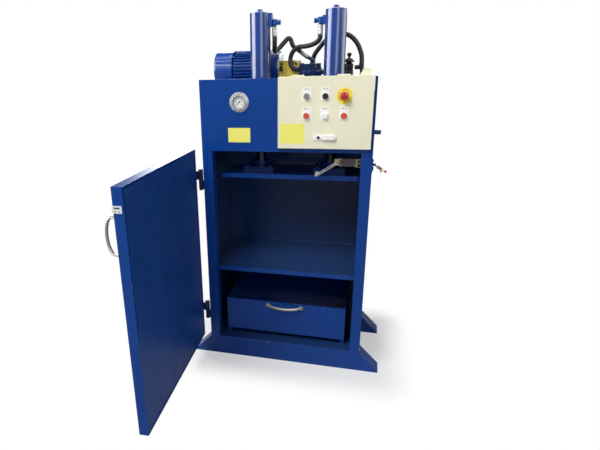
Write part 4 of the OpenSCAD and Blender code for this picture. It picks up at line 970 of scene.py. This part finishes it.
class CRUSHER_OT_control_box(bpy.types.Operator):
    """Finishes the control box, its push-buttons, its emergency stop and its lock"""
    bl_idname = "crusher.control_box"
    bl_label = "Control Box"

    def execute(self, context):
        fine = sizes().fine_edge
        buttons = [(node, surface, 0.0006, 3) for node, surface in (
            ("grey_button", "grey plastic"), ("black_button", "black plastic"),
            ("left_red_button", "button red"), ("white_button", "white plastic"),
            ("right_red_button", "button red"))]
        dress(("box_case", "box powder coat", 0.0008), ("box_lid", "box powder coat", 0.0010, 3),
              ("button_surrounds", "white plastic", fine), ("stop_plate", "stop yellow", fine),
              ("lock_base", "white plastic", 0.0006), ("lock_lever", "white plastic", 0.0014, 3),
              ("stop_stem", "grey plastic", fine), *buttons)
        self.legends([middle(row[0]) for row in buttons])
        self.arrows()
        self.lock()
        self.stop_head()
        return {"FINISHED"}

    def legends(self, places):
        """Plain grey bars on the legend plates above the buttons."""
        face, first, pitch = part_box("box_lid")[0].y - 0.0015, -0.0115, 0.0085
        bars = []
        for at in places:
            for i, wide in enumerate((0.009, 0.0055, 0.0075)):
                x = at.x + first + i * pitch
                bars.append((block((x, face - 0.00018, at.z + 0.0305),
                                   (x + wide * 0.8, face + 0.0003, at.z + 0.0338)), None))
        built("LegendMarks", bars, "printed grey", "box_lid", angle=20.0)

    def arrows(self):
        """Three curved arrows round the stop, which show the way it turns."""
        low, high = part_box("stop_plate")
        centre = (low + high) / 2
        stood = Matrix.Translation((centre.x, high.y - 0.0015, centre.z)) @ UPRIGHT
        outer, middle_line, inner, thick = 0.0285, 0.0268, 0.0250, 0.00025
        arrows = []
        tail, step, tip = 50, 8, 38
        for first in (0, 120, 240):
            angles = [first + tail + step * k for k in range(9)]
            arc = ([spoke(turn, outer) for turn in angles]
                   + [spoke(turn, inner) for turn in reversed(angles)])
            arrows.append((cut_sheet(arc, thick), stood))
            at = Matrix.Translation((*spoke(first + tip, middle_line), 0))
            turn = Matrix.Rotation(math.radians(first + tip - 90) - 0.15, 4, "Z")
            head = cut_sheet([(0, 0.0045), (0, -0.0045), (0.0075, 0)], thick)
            arrows.append((head, stood @ at @ turn))
        built("StopArrows", arrows, "stop orange", "box_lid", angle=20.0)

    def lock(self):
        """The lock's barrel, and a thin black sheet that is painted shade for its key slot."""
        low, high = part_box("lock_base")
        x, z = low.x + 0.029, (low.z + high.z) / 2
        built("LockBarrel", [(turned(LOCK_BARREL, 28), aimed((x, low.y, z), FRONT))],
              "lock blue", "box_lid")
        # The key slot is a thin black sheet, painted shade for the slot's hollow
        keyway_shade = block((x - 0.0008, low.y - 0.0016, z - 0.0042),
                     (x + 0.0008, low.y - 0.001, z + 0.0042))
        built("LockSlot", [(keyway_shade, None)], "printed black", "box_lid")

    def stop_head(self):
        """The mushroom head, with darker red petals laid on its top as painted shade for the
        finger hollows.
        """
        dressed("stop_head", "stop red", 0.0006)
        low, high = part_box("stop_head")
        centre = (low + high) / 2
        front = aimed((centre.x, low.y + 0.0002, centre.z), FRONT)
        out, long, wide, flare = 0.0068, 0.0062, 0.0036, 0.35
        outline = []
        for k in range(20):
            level, rise = spoke(18 * k)
            outline.append((out + long * level, wide * rise * (1 + flare * level)))
        # Darker red petal sheets, painted shade for the finger hollows
        petals = [(cut_sheet(outline, 0.0006, 0.0003),
                   front @ Matrix.Rotation(math.radians(90 + 360 * i / sizes().petals), 4, "Z"))
                  for i in range(sizes().petals)]
        built("StopPetals", petals, "stop dark red", "stop_head")


class CRUSHER_OT_plates(bpy.types.Operator):
    """Fixes the two plain yellow plates on the panel and the box's lid"""
    bl_idname = "crusher.plates"
    bl_label = "Yellow Plates"

    def execute(self, context):
        for name, body, node, left, right, bottom, top in (
                ("PanelPlate", "cabinet", "front_panel", -0.282, -0.168, 1.245, 1.316),
                ("BoxPlate", "box_lid", "box_lid", -0.015, 0.101, 1.245, 1.339)):
            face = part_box(node)[0].y
            plate = block((left, face - sizes().plate, bottom), (right, face + 0.0003, top),
                          0.0003)
            built(name, [(plate, None)], "plate yellow", body)
        return {"FINISHED"}


# ---- Switch and latch ----

class CRUSHER_OT_switch(bpy.types.Operator):
    """Finishes the limit switch with its head, lever and roller"""
    bl_idname = "crusher.switch"
    bl_label = "Limit Switch"

    def execute(self, context):
        dress(("switch_mounts", "yellow zinc plating", 0.0005),
              ("switch_body", "switch casting", 0.0012), ("switch_lever", "satin chrome", 0.0005),
              ("switch_roller", "white plastic", 0.0008))
        low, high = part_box("switch_body")
        spindle = Vector((0.262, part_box("switch_lever")[0].y, 1.143))
        places = [(x, low.y - 0.0008, z) for x in (low.x + 0.005, high.x - 0.005)
                  for z in (low.z + 0.005, high.z - 0.005)]
        built("SwitchScrews", studs(places, FRONT, SWITCH_SCREW)
              + studs([spindle], FRONT, SMALL_NUT), "polished chrome")
        # A dark insulating pad with a ringed screw on the bracket
        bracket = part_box("door_frame")[1].y
        pad_low = Vector((high.x + 0.0065, bracket - 0.0012, low.z + 0.005))
        pad_high = Vector((high.x + 0.0225, bracket + 0.0004, high.z - 0.003))
        built("SwitchPad", [(block(pad_low, pad_high, 0.0004), None)], "black oxide")
        centre = (pad_low + pad_high) / 2
        built("SwitchRing", studs([(centre.x, pad_low.y + 0.0002, centre.z)], FRONT, SWITCH_RING),
              "pale zinc plating")
        # A three-armed mark on the spindle
        face = Matrix.Translation(spindle - Vector((0, 0.0044, 0)))
        mark = [(block((-0.0014, 0.0, -0.0004), (0.0014, 0.0105, 0.0006)),
                 face @ Matrix.Rotation(math.radians(turn), 4, "Y")
                 @ Matrix.Rotation(math.radians(90), 4, "X")) for turn in (25, 145, 265)]
        built("SwitchMark", mark, "mark orange", "switch_lever")
        return {"FINISHED"}


class CRUSHER_OT_latch(bpy.types.Operator):
    """Finishes the toggle latch and the cable stub on the right side"""
    bl_idname = "crusher.latch"
    bl_label = "Latch and Stub"

    def execute(self, context):
        dress(("latch_base", "cabinet enamel", 0.0006), ("latch_arm", "pale zinc plating", 0.0006),
              ("latch_grips", "grip red", 0.0012), ("cable_stub", "cabinet enamel", 0.0006))
        # A small T bolt that hangs from the arm's neck
        at = middle("latch_arm") + Vector((0.010, 0.0, -0.0065))
        bar = at + Vector((-0.0075, 0, -0.0135))
        built("LatchBolt", studs([at], DOWN, LATCH_BOLT) + studs([bar], RIGHT, LATCH_BAR),
              "pale zinc plating", "latch")
        return {"FINISHED"}


# ---- Studio ----

class CRUSHER_OT_studio(bpy.types.Operator):
    """Lays the pale floor and sets the soft light and the camera"""
    bl_idname = "crusher.studio"
    bl_label = "Studio"

    def execute(self, context):
        scene = context.scene
        scene.view_settings.view_transform = "Standard"
        self.floor()
        self.sky(scene)
        use = studio()
        self.lamp("Key light", (-1.7, -3.0, 4.9), (0.0, 0.0, 1.0), 2.4, use.key)
        self.lamp("Fill light", (1.8, -3.6, 3.0), (0.0, 0.0, 1.2), 1.4, use.fill)
        self.lamp("Rim light", (-1.4, 2.2, 3.6), (0.0, 0.1, 1.4), 1.2, use.rim)
        self.camera(scene)
        return {"FINISHED"}

    def floor(self):
        """A pale floor that takes shadows near the feet."""
        bm = bmesh.new()
        bmesh.ops.create_grid(bm, x_segments=8, y_segments=8, size=40.0)
        mesh = bpy.data.meshes.new("Floor")
        bm.to_mesh(mesh)
        bm.free()
        made = bpy.data.objects.new("Floor", mesh)
        bpy.context.scene.collection.objects.link(made)
        pale = bpy.data.materials.new("pale floor")
        pale.use_nodes = True
        mesh.materials.append(pale)
        tree = pale.node_tree
        shader = fed(tree.nodes["Principled BSDF"], {
            "Base Color": (*studio().floor, 1.0), "Roughness": 0.9, "Specular IOR Level": 0.0})
        # How far a place lies outside a box round the feet
        nought, feet = (0.0, 0.0, 0.0), (0.5, 0.3, 0.0)
        near = added(tree, "TexCoord", {}).outputs["Object"]
        for operation, other, output in (("ABSOLUTE", nought, "Vector"),
                                         ("SUBTRACT", feet, "Vector"),
                                         ("MAXIMUM", nought, "Vector"),
                                         ("LENGTH", nought, "Value")):
            near = added(tree, "VectorMath", {0: near, 1: other},
                         operation=operation).outputs[output]
        fade = added(tree, "MapRange", {"Value": near, "From Max": 0.25, "To Min": 0.45,
                                        "To Max": 1.0}, interpolation_type="SMOOTHSTEP")
        # Far from the feet the floor is white to the camera and dim in glossy surfaces
        path = added(tree, "LightPath", {})
        shown = shader.outputs["BSDF"]
        for ray, strength in (("Is Glossy Ray", 0.22), ("Is Camera Ray", 1.0)):
            seen = added(tree, "Math", {0: path.outputs[ray], 1: fade.outputs["Result"]},
                         operation="MULTIPLY")
            glow = added(tree, "Emission", {"Strength": strength})
            shown = added(tree, "MixShader", {"Fac": seen.outputs["Value"], 1: shown,
                                              2: glow.outputs["Emission"]}).outputs["Shader"]
        fed(tree.nodes["Material Output"], {"Surface": shown})

    def sky(self, scene):
        """An even light, plain white to the camera and through glass, with softboxes in gloss."""
        world = bpy.data.worlds.new("Studio")
        scene.world = world
        world.use_nodes = True
        tree = world.node_tree

        def combined(operation, *values):
            return added(tree, "Math", dict(enumerate(values)),
                         operation=operation).outputs["Value"]

        def between(value, low, high, start, end, kind="LINEAR"):
            return added(tree, "MapRange", {"Value": value, "From Min": low, "From Max": high,
                                            "To Min": start, "To Max": end},
                         interpolation_type=kind).outputs["Result"]

        def softboxes(angle, level, boxes):
            """Strength along a turn of angle; each box has a middle and a width in degrees."""
            turn, soft = combined("MULTIPLY_ADD", angle, 0.5 / math.pi, 0.5), 0.010
            for centre, width, strength in boxes:
                off = combined("SUBTRACT", turn, centre / 360 + 0.5)
                off, half = combined("ABSOLUTE", combined("WRAP", off, 0.5, -0.5)), width / 720
                shine = between(off, half - soft, half + soft, strength, 0.0, "SMOOTHSTEP")
                level = combined("ADD", level, shine)
            return level

        place = added(tree, "TexCoord", {})
        x, y, z = added(tree, "SeparateXYZ", {0: place.outputs["Generated"]}).outputs
        # Tall boxes on the walls at the left, the front and the right, and a low one at the back
        around = combined("ARCTAN2", y, x)
        walls = combined("MULTIPLY", softboxes(around, 0.28, ((-158, 45, 5.6), (-64, 26, 2.0),
                                                              (20, 40, 2.6))),
                         between(z, 0.4, 0.7, 1.0, 0.3))
        back = combined("MULTIPLY", softboxes(around, 0.0, ((86, 60, 5.5),)),
                        between(z, 0.09, 0.14, 0.0, 1.0))
        # Strip lights overhead
        over = combined("ARCTAN2", z, combined("MULTIPLY", y, -1.0))
        strips = softboxes(over, 0.0, ((16, 3, 3.0), (31, 4, 9.0), (57, 4, 5.0)))
        gleam = combined("ADD", combined("ADD", walls, back), strips)
        path = added(tree, "LightPath", {}).outputs
        clear = combined("MAXIMUM", path["Is Camera Ray"], path["Is Transmission Ray"])
        strength = studio().sky
        for ray, seen in ((path["Is Glossy Ray"], gleam), (clear, 1.0)):
            strength = added(tree, "Mix", {0: ray, 2: strength, 3: seen}).outputs[0]
        fed(tree.nodes["Background"], {"Color": (1.0, 1.0, 1.0, 1.0), "Strength": strength})

    def lamp(self, name, at, toward, size, power):
        """A square softbox that faces a point, left out of glossy reflections."""
        light = bpy.data.lights.new(name, "AREA")
        light.size = size
        light.energy = power
        made = bpy.data.objects.new(name, light)
        made.matrix_world = aimed(at, Vector(at) - Vector(toward))
        made.visible_glossy = False
        bpy.context.scene.collection.objects.link(made)

    def camera(self, scene):
        use = studio()
        camera = bpy.data.cameras.new("Camera")
        camera.lens = use.lens
        camera.sensor_width = 36.0
        camera.shift_x = use.shift_x
        camera.shift_y = use.shift_y
        camera.clip_end = 100.0
        made = bpy.data.objects.new("Camera", camera)
        made.matrix_world = (Matrix.Translation((use.camera_x, use.camera_y, use.camera_z))
                             @ Matrix.Rotation(use.yaw, 4, "Z")
                             @ Matrix.Rotation(math.pi / 2 - use.pitch, 4, "X")
                             @ Matrix.Rotation(use.roll, 4, "Z"))
        bpy.context.scene.collection.objects.link(made)
        scene.camera = made


class CRUSHER_PT_panel(bpy.types.Panel):
    """Lists the steps that finish the drum crusher"""
    bl_idname = "CRUSHER_PT_panel"
    bl_label = "Drum Crusher"
    bl_space_type = "VIEW_3D"
    bl_region_type = "UI"
    bl_category = "Drum Crusher"

    def draw(self, context):
        layout = self.layout
        for step in STEPS:
            layout.operator(step.bl_idname)
        for group in (paints(), sizes(), studio()):
            column = layout.column()
            for prop in group.bl_rna.properties:
                if prop.identifier not in {"rna_type", "name"}:
                    column.prop(group, prop.identifier)


STEPS = (
    CRUSHER_OT_studio, CRUSHER_OT_hoses, CRUSHER_OT_cabinet, CRUSHER_OT_press, CRUSHER_OT_drawer,
    CRUSHER_OT_door, CRUSHER_OT_motor, CRUSHER_OT_pump, CRUSHER_OT_gauge, CRUSHER_OT_control_box,
    CRUSHER_OT_plates, CRUSHER_OT_switch, CRUSHER_OT_latch,
)
GROUPS = {"crusher_paints": CrusherPaints, "crusher_sizes": CrusherSizes,
          "crusher_studio": CrusherStudio}
CLASSES = (*GROUPS.values(), *STEPS, CRUSHER_PT_panel)


def register():
    for cls in CLASSES:
        bpy.utils.register_class(cls)
    for name, group in GROUPS.items():
        setattr(bpy.types.Scene, name, PointerProperty(type=group))


def unregister():
    for name in GROUPS:
        delattr(bpy.types.Scene, name)
    for cls in reversed(CLASSES):
        bpy.utils.unregister_class(cls)


def main():
    register()
    for step in STEPS:
        part, name = step.bl_idname.split(".")
        getattr(getattr(bpy.ops, part), name)()


if __name__ == "__main__":
    main()
